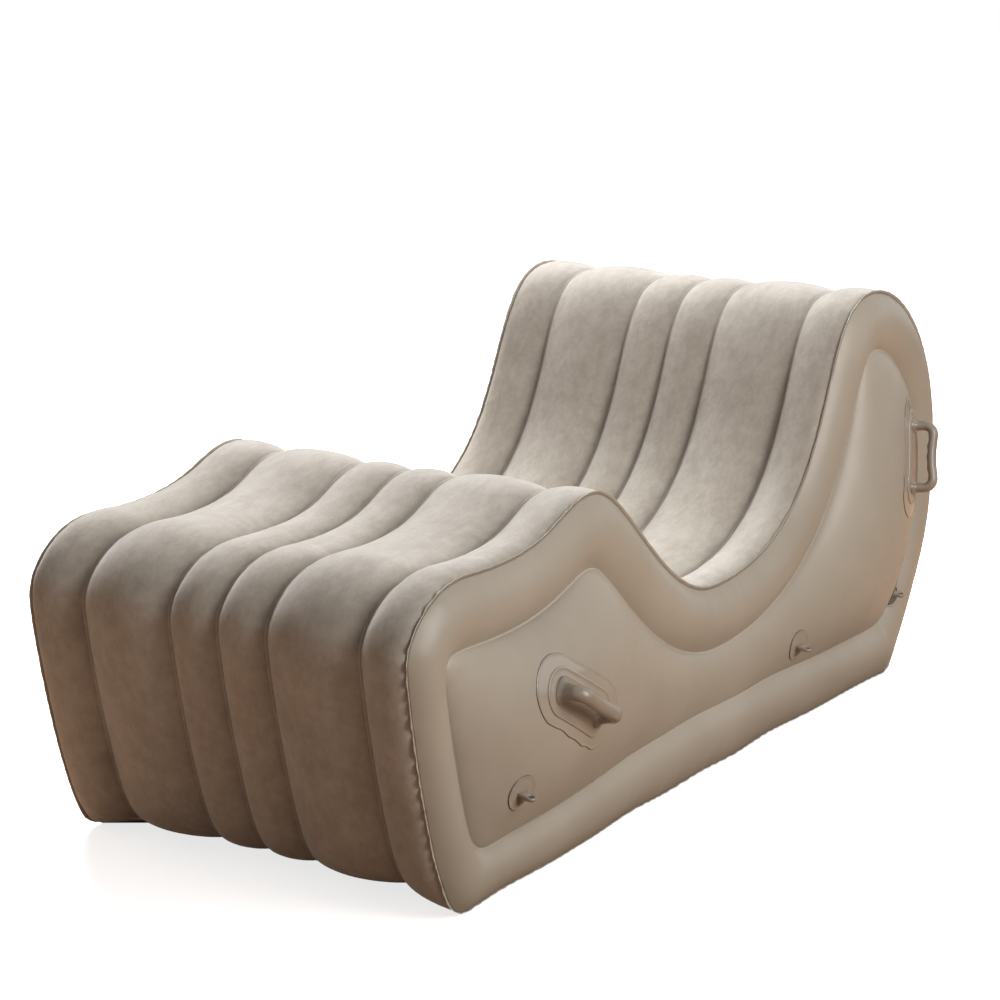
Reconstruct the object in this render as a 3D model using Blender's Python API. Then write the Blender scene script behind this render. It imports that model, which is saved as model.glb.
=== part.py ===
# Inflatable wave lounger, built piece by piece from its welded sheets.
# Metres, +Z up. X is the width, Y the length with the foot end at -Y, and the
# origin is on the floor under the middle of the lounger.
import bpy
import bmesh
import math
import numpy as np
from mathutils import Matrix, Vector
from mathutils.bvhtree import BVHTree
from mathutils.geometry import delaunay_2d_cdt

# Side outline, taken on the welded seam between the top and the side panels
LENGTH = 1.735
WIDTH = 0.690
STEP_HEIGHT = 0.503
CREST_HEIGHT = 0.557
SEAT_HEIGHT = 0.320
BACK_HEIGHT = 0.735

# Stations of that outline from the front floor corner, over the foot step, the
# knee crest, the seat and the top of the back, down to the rear floor corner
REACH_SHARES = (0.073, 0.0, 0.084, 0.282, 0.510, 0.839, 1.0, 0.905)
HEADINGS = (160.0, 90.0, -4.0, 0.0, 0.0, 0.0, -90.0, -124.0)
NOSE_SHARE = 0.825
TAIL_SHARE = 0.596
HANDLE_SHARES = ((0.15, 0.12), (0.12, 0.57), (0.72, 0.28), (0.21, 0.37),
                 (0.67, 0.32), (0.37, 0.34), (0.43, 0.60))
SPAN_STEPS = (4, 6, 4, 8, 8, 6, 4)
FLOOR_STEPS = 9

# Sheets and the clearances between pieces that touch
SHEET = 0.0008
PANEL_SHEET = 0.0010
WEB_SHEET = 0.0008
CLEARANCE = 0.0003
SEAM_LIP = 0.006

# Lanes of the flocked top, across the width: edge tube, wide, narrow, and back
LANE_SHARES = (0.13, 0.24, 0.13, 0.13, 0.24, 0.13)
EDGE_RISE = 0.018
WIDE_RISE = 0.030
NARROW_RISE = 0.020
WELD_DROP = 0.010
# Lanes lie flatter over a crest: the share they lose there, and the outline's radius
# at which they lose all of it
CREST_EASE_SHARE = 0.56
CREST_RADIUS = 0.30
PINCH_LENGTH = 0.110
TUCK_DEPTH = 0.026
EDGE_STEPS = 4
WIDE_STEPS = 6
NARROW_STEPS = 4

# Side panels: a round edge tube up to an inner weld, and a domed middle
TUBE_INSET = 0.098
# Its width at each station of the outline, and last in the middle of the floor seam
TUBE_WIDTH_SHARES = (0.78, 0.78, 1.04, 1.06, 1.07, 1.0, 1.0, 1.0, 1.06)
TUBE_BULGE = 0.021
TUBE_STEPS = 3
WELD_LEVEL = 0.004
DOME_RISE = 0.064
DOME_POWER = 0.7
DOME_RING_INSET = 0.028
DOME_GRID = 0.075
CUTTER_DEPTH = 0.150

# Upright webs between the top and the bottom sheet
WEB_HOLE_RADIUS = 0.032
WEB_HOLE_SHARES = (0.16, 0.38, 0.62, 0.82)
WEB_HOLE_SIDES = 12

# Lifting handles: a flat patch, and a moulded handle of plate and grip
PATCH_SHEET = 0.0012
PATCH_LENGTH = 0.227
PATCH_WIDTH = 0.110
PLATE_THICKNESS = 0.0030
PLATE_LENGTH = 0.176
PLATE_WIDTH = 0.076
GRIP_SPACING = 0.114
GRIP_REACH = 0.036
GRIP_RADIUS = 0.0088
GRIP_WIDTH_SHARE = 1.35
GRIP_BEND = 0.016
FOOT_FLARE_SHARE = 0.25
GRIP_SIDES = 10
GROOVE_DEPTH_SHARE = 0.16
GROOVE_COUNT = 4
FRONT_HANDLE_REACH_SHARE = 0.204
FRONT_HANDLE_HEIGHT_SHARE = 0.545
FRONT_HANDLE_LEAN = -32.0
REAR_HANDLE_REACH_SHARE = 0.891
REAR_HANDLE_HEIGHT_SHARE = 0.579
REAR_HANDLE_LEAN = -107.0

# Tie loops low on the side panels: a disc with a pierced lug
LOOP_DISC_RADIUS = 0.0285
LOOP_DISC_THICKNESS = 0.0015
LOOP_DISC_SIDES = 16
LUG_REACH = 0.0165
LUG_BASE_WIDTH = 0.022
LUG_TIP_RADIUS = 0.0080
LUG_HOLE_RADIUS = 0.0043
LUG_HOLE_SIDES = 10
LUG_THICKNESS = 0.005
# The web under the tab, which runs down the disc to nothing
LUG_WEB_WIDTH = 0.0124
LUG_WEB_REACH = 0.0110
LUG_WEB_DROP = 0.019
# Where they sit
LOOP_REACH_SHARES = (0.129, 0.659, 0.894)
FRONT_LOOP_HEIGHT = 0.168
OTHER_LOOP_HEIGHT = 0.161

# Air valve on the left side panel
VALVE_FLANGE_RADIUS = 0.034
VALVE_FLANGE_THICKNESS = 0.0045
COLLAR_WALL = 0.0035
COLLAR_DEPTH = 0.022
BORE_RADIUS = 0.0175
INSERT_WALL = 0.0030
INSERT_DEPTH = 0.018
INSERT_FLANGE_THICKNESS = 0.0030
INSERT_FLANGE_OVERHANG = 0.0055
SEAT_THICKNESS = 0.0020
SPOKE_WIDTH = 0.0030
SPOKE_COUNT = 4
HUB_RADIUS = 0.0040
STEM_RADIUS = 0.0012
STEM_BEAD_RADIUS = 0.0022
STEM_BEAD_THICKNESS = 0.0016
FLAP_THICKNESS = 0.0012
FLAP_TRAVEL = 0.0030
SEAL_THICKNESS = 0.0016
SEAL_WIDTH = 0.0030
CAP_THICKNESS = 0.0030
CAP_RIM = 0.0012
PLUG_DEPTH = 0.0060
PLUG_TAPER = 0.0008
CAP_TAB_REACH = 0.0070
CAP_TAB_WIDTH = 0.0110
HINGE_BEAD_RADIUS = 0.0013
HINGE_WIDTH = 0.0090
TONGUE_SHARE = 0.85
HINGE_BLOCK_REACH = 0.0062
HINGE_AXIS_INSET = 0.0030
TURNED_SIDES = 24
# Share of a side by which the turned solids start past the axis, so that their
# corners don't fall on the edges of the panel's facets
TURNED_START_SHARE = 0.3

# Length of every cutter past the piece that it cuts
OVERRUN = 0.004
# Edges that turn by more than this are drawn sharp
SHARP_ANGLE = 40.0

COLOURS = {
    "flocked": (0.53, 0.48, 0.42, 1.0),
    "panel": (0.46, 0.39, 0.32, 1.0),
    "inner": (0.55, 0.50, 0.44, 1.0),
    "moulded": (0.36, 0.30, 0.25, 1.0),
    "clear_patch": (0.42, 0.36, 0.30, 1.0),
    "valve": (0.60, 0.58, 0.54, 1.0),
    "rubber": (0.08, 0.08, 0.08, 1.0),
}
ROUGHNESS = {"flocked": 0.95, "panel": 0.45, "inner": 0.50, "moulded": 0.30,
             "clear_patch": 0.28, "valve": 0.35, "rubber": 0.70}


def clear_scene():
    for obj in list(bpy.data.objects):
        bpy.data.objects.remove(obj, do_unlink=True)


def material(kind):
    name = "pvc_" + kind
    found = bpy.data.materials.get(name)
    if found:
        return found
    made = bpy.data.materials.new(name)
    made.use_nodes = True
    shader = made.node_tree.nodes["Principled BSDF"]
    shader.inputs["Base Color"].default_value = COLOURS[kind]
    shader.inputs["Roughness"].default_value = ROUGHNESS[kind]
    shader.inputs["Metallic"].default_value = 0.0
    made.diffuse_color = COLOURS[kind]
    return made


def mesh_object(name, points, faces, kind=None):
    # A closed mesh with its faces turned outwards; without a kind it is a cutter
    bm = bmesh.new()
    verts = [bm.verts.new(p) for p in points]
    for face in faces:
        bm.faces.new([verts[i] for i in face])
    bmesh.ops.recalc_face_normals(bm, faces=bm.faces)
    return object_from(bm, name, kind)


def object_from(bm, name, kind=None):
    mesh = bpy.data.meshes.new(name)
    bm.to_mesh(mesh)
    bm.free()
    mesh.update()
    mesh.shade_smooth()
    mesh.set_sharp_from_angle(angle=math.radians(SHARP_ANGLE))
    obj = bpy.data.objects.new(name, mesh)
    bpy.context.scene.collection.objects.link(obj)
    if kind is None:
        obj.hide_render = True
        obj.display_type = "WIRE"
    else:
        mesh.materials.append(material(kind))
    return obj


def prism(name, outline, frame, low, high, kind=None):
    points = [frame @ Vector((p.x, p.y, level)) for level in (low, high) for p in outline]
    count = len(outline)
    faces = [tuple(range(count)), tuple(range(count, 2 * count))]
    faces += [(k, (k + 1) % count, count + (k + 1) % count, count + k) for k in range(count)]
    return mesh_object(name, points, faces, kind)


def boolean(obj, operation, cutter):
    step = obj.modifiers.new(operation.lower(), "BOOLEAN")
    step.operation = operation
    step.solver = "EXACT"
    step.object = cutter


# Curves in a plane

def bezier(a, b, c, d, steps):
    points = []
    for k in range(steps):
        t = k / steps
        s = 1 - t
        points.append(s * s * s * a + 3 * s * s * t * b + 3 * s * t * t * c + t * t * t * d)
    return points


def arc(start, end, rise, steps):
    # Points of the circle through start and end that stands rise above their chord
    chord = end - start
    side = Vector((-chord.y, chord.x)).normalized()
    half = chord.length / 2
    if abs(rise) < CLEARANCE:
        return [start.lerp(end, k / steps) for k in range(steps + 1)]
    radius = (half * half + rise * rise) / (2 * rise)
    middle = (start + end) / 2 + side * (rise - radius)
    spread = 2 * math.atan2(rise, half)
    points = []
    for k in range(steps + 1):
        angle = spread * (2 * k / steps - 1)
        points.append(middle + chord.normalized() * (radius * math.sin(angle))
                      + side * (radius * math.cos(angle)))
    return points


def mitres(points, closed):
    # Left-hand normals at each corner, long enough to keep offset edges parallel
    count = len(points)
    result = []
    for i, point in enumerate(points):
        before = point - points[i - 1] if closed or i > 0 else None
        after = points[(i + 1) % count] - point if closed or i < count - 1 else None
        normals = [Vector((-d.y, d.x)).normalized() for d in (before, after) if d is not None]
        if len(normals) == 1:
            result.append(normals[0])
        else:
            result.append((normals[0] + normals[1]) / (1 + normals[0].dot(normals[1])))
    return result


def distance_to_loop(point, loop):
    best = None
    for i, corner in enumerate(loop):
        edge = corner - loop[i - 1]
        share = max(0.0, min(1.0, (point - loop[i - 1]).dot(edge) / edge.length_squared))
        gap = (loop[i - 1] + edge * share - point).length
        best = gap if best is None else min(best, gap)
    return best


def inset_loop(loop, normals, insets):
    # The loop moved inwards, with straight runs where its corners would cross over
    tolerance_share = 0.995
    moved = [p - n * inset for p, n, inset in zip(loop, normals, insets)]
    sound = [i for i, p in enumerate(moved)
             if distance_to_loop(p, loop) >= insets[i] * tolerance_share]
    count = len(loop)
    for place, first in enumerate(sound):
        last = sound[(place + 1) % len(sound)]
        span = (last - first) % count
        for k in range(1, span):
            moved[(first + k) % count] = moved[first].lerp(moved[last], k / span)
    return moved


def inside_loop(point, loop):
    inside = False
    for i, a in enumerate(loop):
        b = loop[i - 1]
        if (a.y > point.y) != (b.y > point.y):
            if point.x < (b.x - a.x) * (point.y - a.y) / (b.y - a.y) + a.x:
                inside = not inside
    return inside


def stadium(length, width, steps=9):
    # A rounded-end outline, long along its first axis
    radius = width / 2
    reach = length / 2 - radius
    points = []
    for end in (1, -1):
        for k in range(steps + 1):
            angle = math.pi * (k / steps - 0.5)
            points.append(Vector((end * (reach + radius * math.cos(angle)),
                                  end * radius * math.sin(angle))))
    return points


def circle(radius, sides):
    angles = [2 * math.pi * k / sides for k in range(sides)]
    return [Vector((radius * math.cos(angle), radius * math.sin(angle))) for angle in angles]


# The side outline of the lounger, in (length, height)

SEAM_FLOOR = SHEET + CLEARANCE / 2


def outline_stations():
    heights = (SEAM_FLOOR, NOSE_SHARE * STEP_HEIGHT, STEP_HEIGHT, CREST_HEIGHT, SEAT_HEIGHT,
               BACK_HEIGHT, TAIL_SHARE * BACK_HEIGHT, SEAM_FLOOR)
    return [Vector((share * LENGTH - LENGTH / 2, height))
            for share, height in zip(REACH_SHARES, heights)]


def top_outline():
    stations = outline_stations()
    points = []
    for k, steps in enumerate(SPAN_STEPS):
        start, end = stations[k], stations[k + 1]
        span = (end - start).length
        turn_a, turn_b = math.radians(HEADINGS[k]), math.radians(HEADINGS[k + 1])
        lead_a, lead_b = (share * span for share in HANDLE_SHARES[k])
        near = start + lead_a * Vector((math.cos(turn_a), math.sin(turn_a)))
        far = end - lead_b * Vector((math.cos(turn_b), math.sin(turn_b)))
        points += bezier(start, near, far, end, steps)
    return points + [stations[-1]]


TOP = top_outline()
FLOOR = [TOP[-1].lerp(TOP[0], k / FLOOR_STEPS) for k in range(1, FLOOR_STEPS)]
LOOP = TOP + FLOOR
NORMALS = mitres(LOOP, closed=True)


def run_from_end(index):
    # Distance along the outline from the nearer floor corner
    ahead = sum((TOP[i + 1] - TOP[i]).length for i in range(index))
    behind = sum((TOP[i + 1] - TOP[i]).length for i in range(index, len(TOP) - 1))
    return min(ahead, behind)


def pinch(index):
    # 0 at the floor, where the top is welded flat, rising to 1 along the lane
    share = min(1.0, run_from_end(index) / PINCH_LENGTH)
    return math.sin(share * math.pi / 2)


def tuck(index):
    # How far the welds between the lanes turn in under the top near the floor
    return TUCK_DEPTH * (1 - pinch(index))


def crest_shares():
    # 1 at each point where the outline bends tightly over a crest, else down to 0
    last = len(TOP) - 1
    shares = []
    for i, point in enumerate(TOP):
        before = point - TOP[max(i - 2, 0)]
        after = TOP[min(i + 2, last)] - point
        if i in (0, last):
            shares.append(0.0)
            continue
        turn = math.atan2(before.y * after.x - before.x * after.y, before.dot(after))
        bend = turn / ((before.length + after.length) / 2)
        shares.append(max(0.0, min(1.0, bend * CREST_RADIUS)))
    return [(shares[max(i - 1, 0)] + 2 * share + shares[min(i + 1, last)]) / 4
            for i, share in enumerate(shares)]


CRESTS = crest_shares()


def fullness(index):
    # Share of its full height that a lane has at a station
    return pinch(index) * (1 - CREST_EASE_SHARE * CRESTS[index])


def to_floor(point, edge, level):
    return point + edge * ((level - point.y) / edge.y)


def lane_point(index, across, rise):
    # A point of a lane: on the floor at both ends of the outline, else above its seam
    last = len(TOP) - 1
    if index in (0, last):
        edge = TOP[1] - TOP[0] if index == 0 else TOP[last] - TOP[last - 1]
        normal = Vector((-edge.y, edge.x)).normalized()
        place = to_floor(TOP[index] + normal * rise, edge, 0.0)
    else:
        place = TOP[index] + NORMALS[index] * rise
    return Vector((across, place.x, place.y))


def sheet_section(points, thickness):
    # A thin closed section: the outer line, then the inner line back
    inner = [p - n * thickness for p, n in zip(points, mitres(points, closed=False))]
    return points + inner[::-1]


def skin_faces(rings, size, closed):
    # Triangles between rings of equal size, whose second half runs back inside the
    # first: both skins share their diagonals, so a thin sheet never cuts itself
    faces = []
    for i in range(rings if closed else rings - 1):
        ahead = (i + 1) % rings
        for k in range(size):
            nxt = (k + 1) % size
            a, b = i * size + k, ahead * size + k
            c, d = ahead * size + nxt, i * size + nxt
            if k < size // 2:
                faces += [(a, b, c), (a, c, d)]
            else:
                faces += [(a, b, d), (b, c, d)]
    return faces


def swept_rings(name, rings, kind):
    size = len(rings[0])
    points = [p for ring in rings for p in ring]
    faces = [tuple(range(size)), tuple((len(rings) - 1) * size + k for k in range(size))]
    return mesh_object(name, points, faces + skin_faces(len(rings), size, False), kind)


# Flocked top, six lanes welded side by side

def lane_edges():
    edges = [-WIDTH / 2]
    for share in LANE_SHARES:
        edges.append(edges[-1] + share * WIDTH)
    return edges


LANE_EDGES = lane_edges()
SEAM_TOP = SHEET + CLEARANCE / 2
LIP_START = WIDTH / 2 - PANEL_SHEET - 2 * CLEARANCE


def inner_lane(name, number, rise, steps):
    left = LANE_EDGES[number] + CLEARANCE / 2
    right = LANE_EDGES[number + 1] - CLEARANCE / 2
    rings = []
    for i in range(len(TOP)):
        full = fullness(i)
        weld = -WELD_DROP * full - tuck(i)
        line = arc(Vector((right, weld)), Vector((left, weld)), -rise * full, steps)
        section = sheet_section(line[::-1], SHEET)
        rings.append([lane_point(i, p.x, p.y) for p in section])
    return swept_rings(name, rings, "flocked")


def edge_lane(name, side):
    # Runs from its inner weld to the seam lip; the left one mirrors the right one
    inner = LANE_EDGES[-2] + CLEARANCE / 2
    rings = []
    for i in range(len(TOP)):
        full = fullness(i)
        start = Vector((inner, -WELD_DROP * full - tuck(i)))
        line = arc(start, Vector((LIP_START, SEAM_TOP)), EDGE_RISE * full, EDGE_STEPS)
        line.append(Vector((WIDTH / 2 + SEAM_LIP, SEAM_TOP)))
        section = sheet_section(line, SHEET)
        rings.append([lane_point(i, side * p.x, p.y) for p in section])
    return swept_rings(name, rings, "flocked")


def flocked_top():
    for word, side in (("right", 1), ("left", -1)):
        edge_lane("top_edge_lane_" + word, side)
    inner_lane("top_wide_lane_left", 1, WIDE_RISE, WIDE_STEPS)
    inner_lane("top_narrow_lane_left", 2, NARROW_RISE, NARROW_STEPS)
    inner_lane("top_narrow_lane_right", 3, NARROW_RISE, NARROW_STEPS)
    inner_lane("top_wide_lane_right", 4, WIDE_RISE, WIDE_STEPS)


# Bottom sheet, flat on the floor between the ends of the lanes

def floor_reaches(inset, level):
    # Where the floor ends of the outline lie once moved inwards, front and rear
    reaches = []
    for index, edge in ((0, TOP[1] - TOP[0]), (-1, TOP[-1] - TOP[-2])):
        normal = Vector((-edge.y, edge.x)).normalized()
        reaches.append(to_floor(TOP[index] - normal * inset, edge, level).x)
    return reaches


def bottom_sheet():
    front, rear = floor_reaches(SHEET + CLEARANCE, 0.0)
    tucked_front, tucked_rear = floor_reaches(SHEET + CLEARANCE + TUCK_DEPTH, 0.0)
    lip = WIDTH / 2 + SEAM_LIP
    inner = LANE_EDGES[-2]
    side = [Vector((lip, front)), Vector((lip, rear)), Vector((LIP_START, rear)),
            Vector((inner, tucked_rear))]
    other = [Vector((-p.x, p.y)) for p in side[::-1]]
    front_run = [Vector((-inner, tucked_front)), Vector((inner, tucked_front)),
                 Vector((LIP_START, front))]
    outline = side + other + [Vector((-LIP_START, front))] + front_run
    prism("bottom_sheet", outline, Matrix.Identity(4), 0.0, SHEET, "panel")


# Side panels as a height field over the side outline

def dome_levels(points, faces, fixed):
    # Rise of a stretched sheet under even pressure, held at the fixed points
    free = sorted({index for face in faces for index in face} - fixed)
    place = {index: row for row, index in enumerate(free)}
    matrix = np.zeros((len(free), len(free)))
    load = np.zeros(len(free))
    for face in faces:
        for k in range(3):
            a, b, c = face[k], face[k - 1], face[k - 2]
            to_b, to_c = points[b] - points[a], points[c] - points[a]
            area = abs(to_b.cross(to_c))
            pull = to_b.dot(to_c) / area / 2
            if a in place:
                load[place[a]] += area / 6
            for one, other in ((b, c), (c, b)):
                if one in place:
                    matrix[place[one], place[one]] += pull
                if one in place and other in place:
                    matrix[place[one], place[other]] -= pull
    rise = np.linalg.solve(matrix, load)
    shares = (rise / rise.max()) ** DOME_POWER
    return {index: DOME_RISE * float(shares[place[index]]) for index in free}


def grid_inside(loop):
    # Evenly staggered points inside a loop, clear of its edge
    edge_share = 0.55
    ys = [p.x for p in loop]
    zs = [p.y for p in loop]
    step_z = DOME_GRID * math.sqrt(3) / 2
    rows = int((max(zs) - min(zs)) / step_z) + 1
    columns = int((max(ys) - min(ys)) / DOME_GRID) + 1
    points = []
    for r in range(rows):
        for c in range(columns):
            place = Vector((min(ys) + (c + (r % 2) / 2) * DOME_GRID, min(zs) + r * step_z))
            if inside_loop(place, loop) and distance_to_loop(place, loop) > DOME_GRID * edge_share:
                points.append(place)
    return points


def tube_insets(share, beyond=0.0):
    # How far in a line of the edge tube lies, at every point of the loop
    insets = []
    ends = TUBE_WIDTH_SHARES + TUBE_WIDTH_SHARES[:1]
    half = FLOOR_STEPS // 2
    for k, steps in enumerate(SPAN_STEPS + (FLOOR_STEPS - half, half)):
        for j in range(steps):
            width = TUBE_INSET * (ends[k] + (ends[k + 1] - ends[k]) * j / steps)
            insets.append(share * width + beyond)
    return insets


def side_surface():
    # Outer face of a side panel: flat places, their levels above the seam, triangles
    # and the count of its rim points, which come first
    section = arc(Vector((0.0, 0.0)), Vector((TUBE_INSET, WELD_LEVEL)), TUBE_BULGE, TUBE_STEPS)
    section[0].x = SEAM_TOP
    loops = [inset_loop(LOOP, NORMALS, tube_insets(p.x / TUBE_INSET)) for p in section]
    loops.append(inset_loop(LOOP, NORMALS, tube_insets(1.0, DOME_RING_INSET)))
    count = len(LOOP)
    flat = [p for loop in loops for p in loop]
    levels = [p.y for p in section for _ in range(count)] + [WELD_LEVEL] * count
    faces = []
    for ring in range(len(loops) - 1):
        for k in range(count):
            nxt = (k + 1) % count
            a, b = ring * count + k, ring * count + nxt
            faces += [(a, b, b + count), (a, b + count, a + count)]
    last = (len(loops) - 1) * count
    inner = loops[-1] + grid_inside(loops[-1])
    rim_edges = [(k, (k + 1) % count) for k in range(count)]
    placed, _, triangles, origins, _, _ = delaunay_2d_cdt(inner, rim_edges, [], 1, 1e-6)
    index = [last + source[0] for source in origins]
    flat += inner[count:]
    faces += [tuple(index[k] for k in triangle) for triangle in triangles]
    levels += [WELD_LEVEL] * (len(flat) - len(levels))
    weld = (len(section) - 1) * count
    dome_faces = [face for face in faces if min(face) >= weld]
    fixed = set(range(weld, weld + count))
    for place, rise in dome_levels(flat, dome_faces, fixed).items():
        levels[place] += rise
    return flat, levels, faces, count


FLAT, LEVELS, FACES, RIM = side_surface()


def surface_points(side, lift):
    return [Vector((side * (WIDTH / 2 + level + lift), p.x, p.y))
            for p, level in zip(FLAT, LEVELS)]


def surface_slab(name, side, low, high):
    # Everything between two copies of the side surface, as a cutter
    points = surface_points(side, high) + surface_points(side, low)
    size = len(FLAT)
    faces = FACES + [tuple(size + k for k in face[::-1]) for face in FACES]
    for k in range(RIM):
        nxt = (k + 1) % RIM
        faces.append((k, nxt, size + nxt, size + k))
    return mesh_object(name, points, faces)


def side_panel(name, side):
    outer = surface_points(side, 0.0)
    inner = surface_points(side, -PANEL_SHEET)
    lip_outer, lip_inner = [], []
    for k in range(RIM):
        face = LOOP[k] - NORMALS[k] * SEAM_TOP
        back = LOOP[k] - NORMALS[k] * (CLEARANCE / 2)
        inner[k] = Vector((side * (WIDTH / 2 - PANEL_SHEET), back.x, back.y))
        lip_outer.append(Vector((side * (WIDTH / 2 + SEAM_LIP), face.x, face.y)))
        lip_inner.append(Vector((side * (WIDTH / 2 + SEAM_LIP), back.x, back.y)))
    size = len(FLAT)
    points = outer + inner + lip_outer + lip_inner
    faces = FACES + [tuple(size + k for k in face[::-1]) for face in FACES]
    for k in range(RIM):
        nxt = (k + 1) % RIM
        a, b = 2 * size + k, 2 * size + nxt
        faces += [(k, nxt, b, a), (a, b, b + RIM, a + RIM),
                  (a + RIM, b + RIM, size + nxt, size + k)]
    return mesh_object(name, points, faces, "panel")


# Inner sheets: upright webs, and a slanted wall behind each edge tube

WEB_FLOOR = SHEET + CLEARANCE


def web_outline():
    # The line under the welds of the lanes, along the top only
    inset = SHEET + CLEARANCE
    front, rear = floor_reaches(inset + TUCK_DEPTH, WEB_FLOOR)
    points = [Vector((front, WEB_FLOOR))]
    for i in range(1, len(TOP) - 1):
        points.append(TOP[i] - NORMALS[i] * (inset + WELD_DROP * fullness(i) + tuck(i)))
    return points + [Vector((rear, WEB_FLOOR))]


def height_at(reach):
    # Height of the seam outline at a place along the length
    best = 0.0
    for a, b in zip(TOP, TOP[1:]):
        if min(a.x, b.x) <= reach <= max(a.x, b.x) and a.x != b.x:
            best = max(best, a.y + (b.y - a.y) * (reach - a.x) / (b.x - a.x))
    return best


def web(name, across):
    bm = bmesh.new()
    left = across - WEB_SHEET / 2
    outlines = [web_outline()]
    for share in WEB_HOLE_SHARES:
        reach = (share - 0.5) * LENGTH
        middle = Vector((reach, height_at(reach) / 2))
        outlines.append([middle + p for p in circle(WEB_HOLE_RADIUS, WEB_HOLE_SIDES)])
    for outline in outlines:
        verts = [bm.verts.new((left, p.x, p.y)) for p in outline]
        for k, vert in enumerate(verts):
            bm.edges.new((verts[k - 1], vert))
    bmesh.ops.triangle_fill(bm, use_beauty=True, edges=bm.edges[:], normal=(1.0, 0.0, 0.0))
    grown = bmesh.ops.extrude_face_region(bm, geom=bm.faces[:])
    moved = [item for item in grown["geom"] if isinstance(item, bmesh.types.BMVert)]
    bmesh.ops.translate(bm, verts=moved, vec=(WEB_SHEET, 0.0, 0.0))
    bmesh.ops.recalc_face_normals(bm, faces=bm.faces)
    return object_from(bm, name, "inner")


def edge_tube_wall(name, side):
    # From under the outermost lane weld to behind the inner weld of the side panel
    weld_ring = inset_loop(LOOP, NORMALS, tube_insets(1.0))
    near = LANE_EDGES[-2]
    far = WIDTH / 2 + WELD_LEVEL - PANEL_SHEET - CLEARANCE
    shift = WEB_SHEET * math.sqrt(2)
    tops = web_outline() + [Vector((p.x, WEB_FLOOR)) for p in FLOOR]
    rings = []
    for top, low in zip(tops, weld_ring):
        rings.append([Vector((side * near, top.x, top.y)),
                      Vector((side * far, low.x, low.y)),
                      Vector((side * (far - shift), low.x, low.y)),
                      Vector((side * (near - shift), top.x, top.y))])
    points = [p for ring in rings for p in ring]
    faces = skin_faces(len(rings), len(rings[0]), True)
    return mesh_object(name, points, faces, "inner")


def inner_sheets():
    web("web_left", LANE_EDGES[2])
    web("web_middle", LANE_EDGES[3])
    web("web_right", LANE_EDGES[4])
    edge_tube_wall("edge_tube_wall_right", 1)
    edge_tube_wall("edge_tube_wall_left", -1)


# Fittings on the side panels

def surface_tree(side):
    return BVHTree.FromPolygons(surface_points(side, 0.0), FACES)


def seat_frame(side, reach, height, lean):
    # Axes at a place of the side surface: along the fitting, across it, and outwards
    start = Vector((side * WIDTH, reach, height))
    place, normal, _, _ = surface_tree(side).ray_cast(start, Vector((-side, 0.0, 0.0)))
    if normal.x * side < 0:
        normal = -normal
    angle = math.radians(lean)
    along = Vector((0.0, math.cos(angle), math.sin(angle)))
    along = (along - normal * along.dot(normal)).normalized()
    across = normal.cross(along)
    frame = Matrix((along, across, normal)).transposed().to_4x4()
    frame.translation = place
    return frame


def grip_path():
    # Centre line of the grip and its left-hand normals, in (along, outwards)
    bend_steps = 4
    bar_steps = 2 * GROOVE_COUNT
    half = GRIP_SPACING / 2
    points = [Vector((-half, -OVERRUN)), Vector((-half, GRIP_REACH - GRIP_BEND))]
    for k in range(1, bend_steps + 1):
        angle = math.pi * (1 - k / bend_steps / 2)
        points.append(Vector((-half + GRIP_BEND + GRIP_BEND * math.cos(angle),
                              GRIP_REACH - GRIP_BEND + GRIP_BEND * math.sin(angle))))
    inner = half - GRIP_BEND
    bar = [Vector((inner * (2 * k / bar_steps - 1), GRIP_REACH)) for k in range(1, bar_steps)]
    mirrored = [Vector((-p.x, p.y)) for p in points[::-1]]
    return points + bar + mirrored, len(points) - 1, bar_steps


def grip_form(name, frame):
    # The oval bar of a handle, its feet sunk under the plate and its inside grooved
    path, first, bar_steps = grip_path()
    sides = mitres(path, closed=False)
    rings = []
    for i, point in enumerate(path):
        along_bar = (i - first) / bar_steps
        groove = 0.0
        if 0 < along_bar < 1:
            groove = GROOVE_DEPTH_SHARE * math.sin(math.pi * GROOVE_COUNT * along_bar) ** 2
        foot = max(0.0, 1 - point.y / (GRIP_REACH - GRIP_BEND))
        width_share = GRIP_WIDTH_SHARE * (1 + FOOT_FLARE_SHARE * foot)
        ring = []
        for unit in circle(1, GRIP_SIDES):
            radius = GRIP_RADIUS * (1 - groove * max(0.0, -unit.x))
            place = point + sides[i] * (radius * unit.x)
            ring.append(frame @ Vector((place.x, radius * width_share * unit.y, place.y)))
        rings.append(ring)
    return swept_rings(name, rings, None)


def handle(word, side, reach, height, lean, cutters):
    frame = seat_frame(side, reach, height, lean)
    depth = PATCH_LENGTH / 4
    patch = prism("handle_patch_" + word, stadium(PATCH_LENGTH, PATCH_WIDTH), frame,
                  -depth, depth, "clear_patch")
    boolean(patch, "INTERSECT", cutters["patch_layer"])
    body = prism("handle_" + word, stadium(PLATE_LENGTH, PLATE_WIDTH), frame,
                 -depth, depth, "moulded")
    boolean(body, "INTERSECT", cutters["plate_layer"])
    grip = grip_form("grip_form_" + word, frame)
    boolean(grip, "DIFFERENCE", cutters["under_grip"])
    boolean(body, "UNION", grip)


def lug_outline():
    half = LUG_BASE_WIDTH / 2
    tip = LUG_REACH
    steps = 6
    points = [Vector((-half, -OVERRUN)), Vector((-half, LOOP_DISC_THICKNESS))]
    for k in range(steps + 1):
        angle = math.pi * (1 - k / steps)
        points.append(Vector((LUG_TIP_RADIUS * math.cos(angle),
                              tip + LUG_TIP_RADIUS * math.sin(angle))))
    return points + [Vector((half, LOOP_DISC_THICKNESS)), Vector((half, -OVERRUN))]


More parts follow.
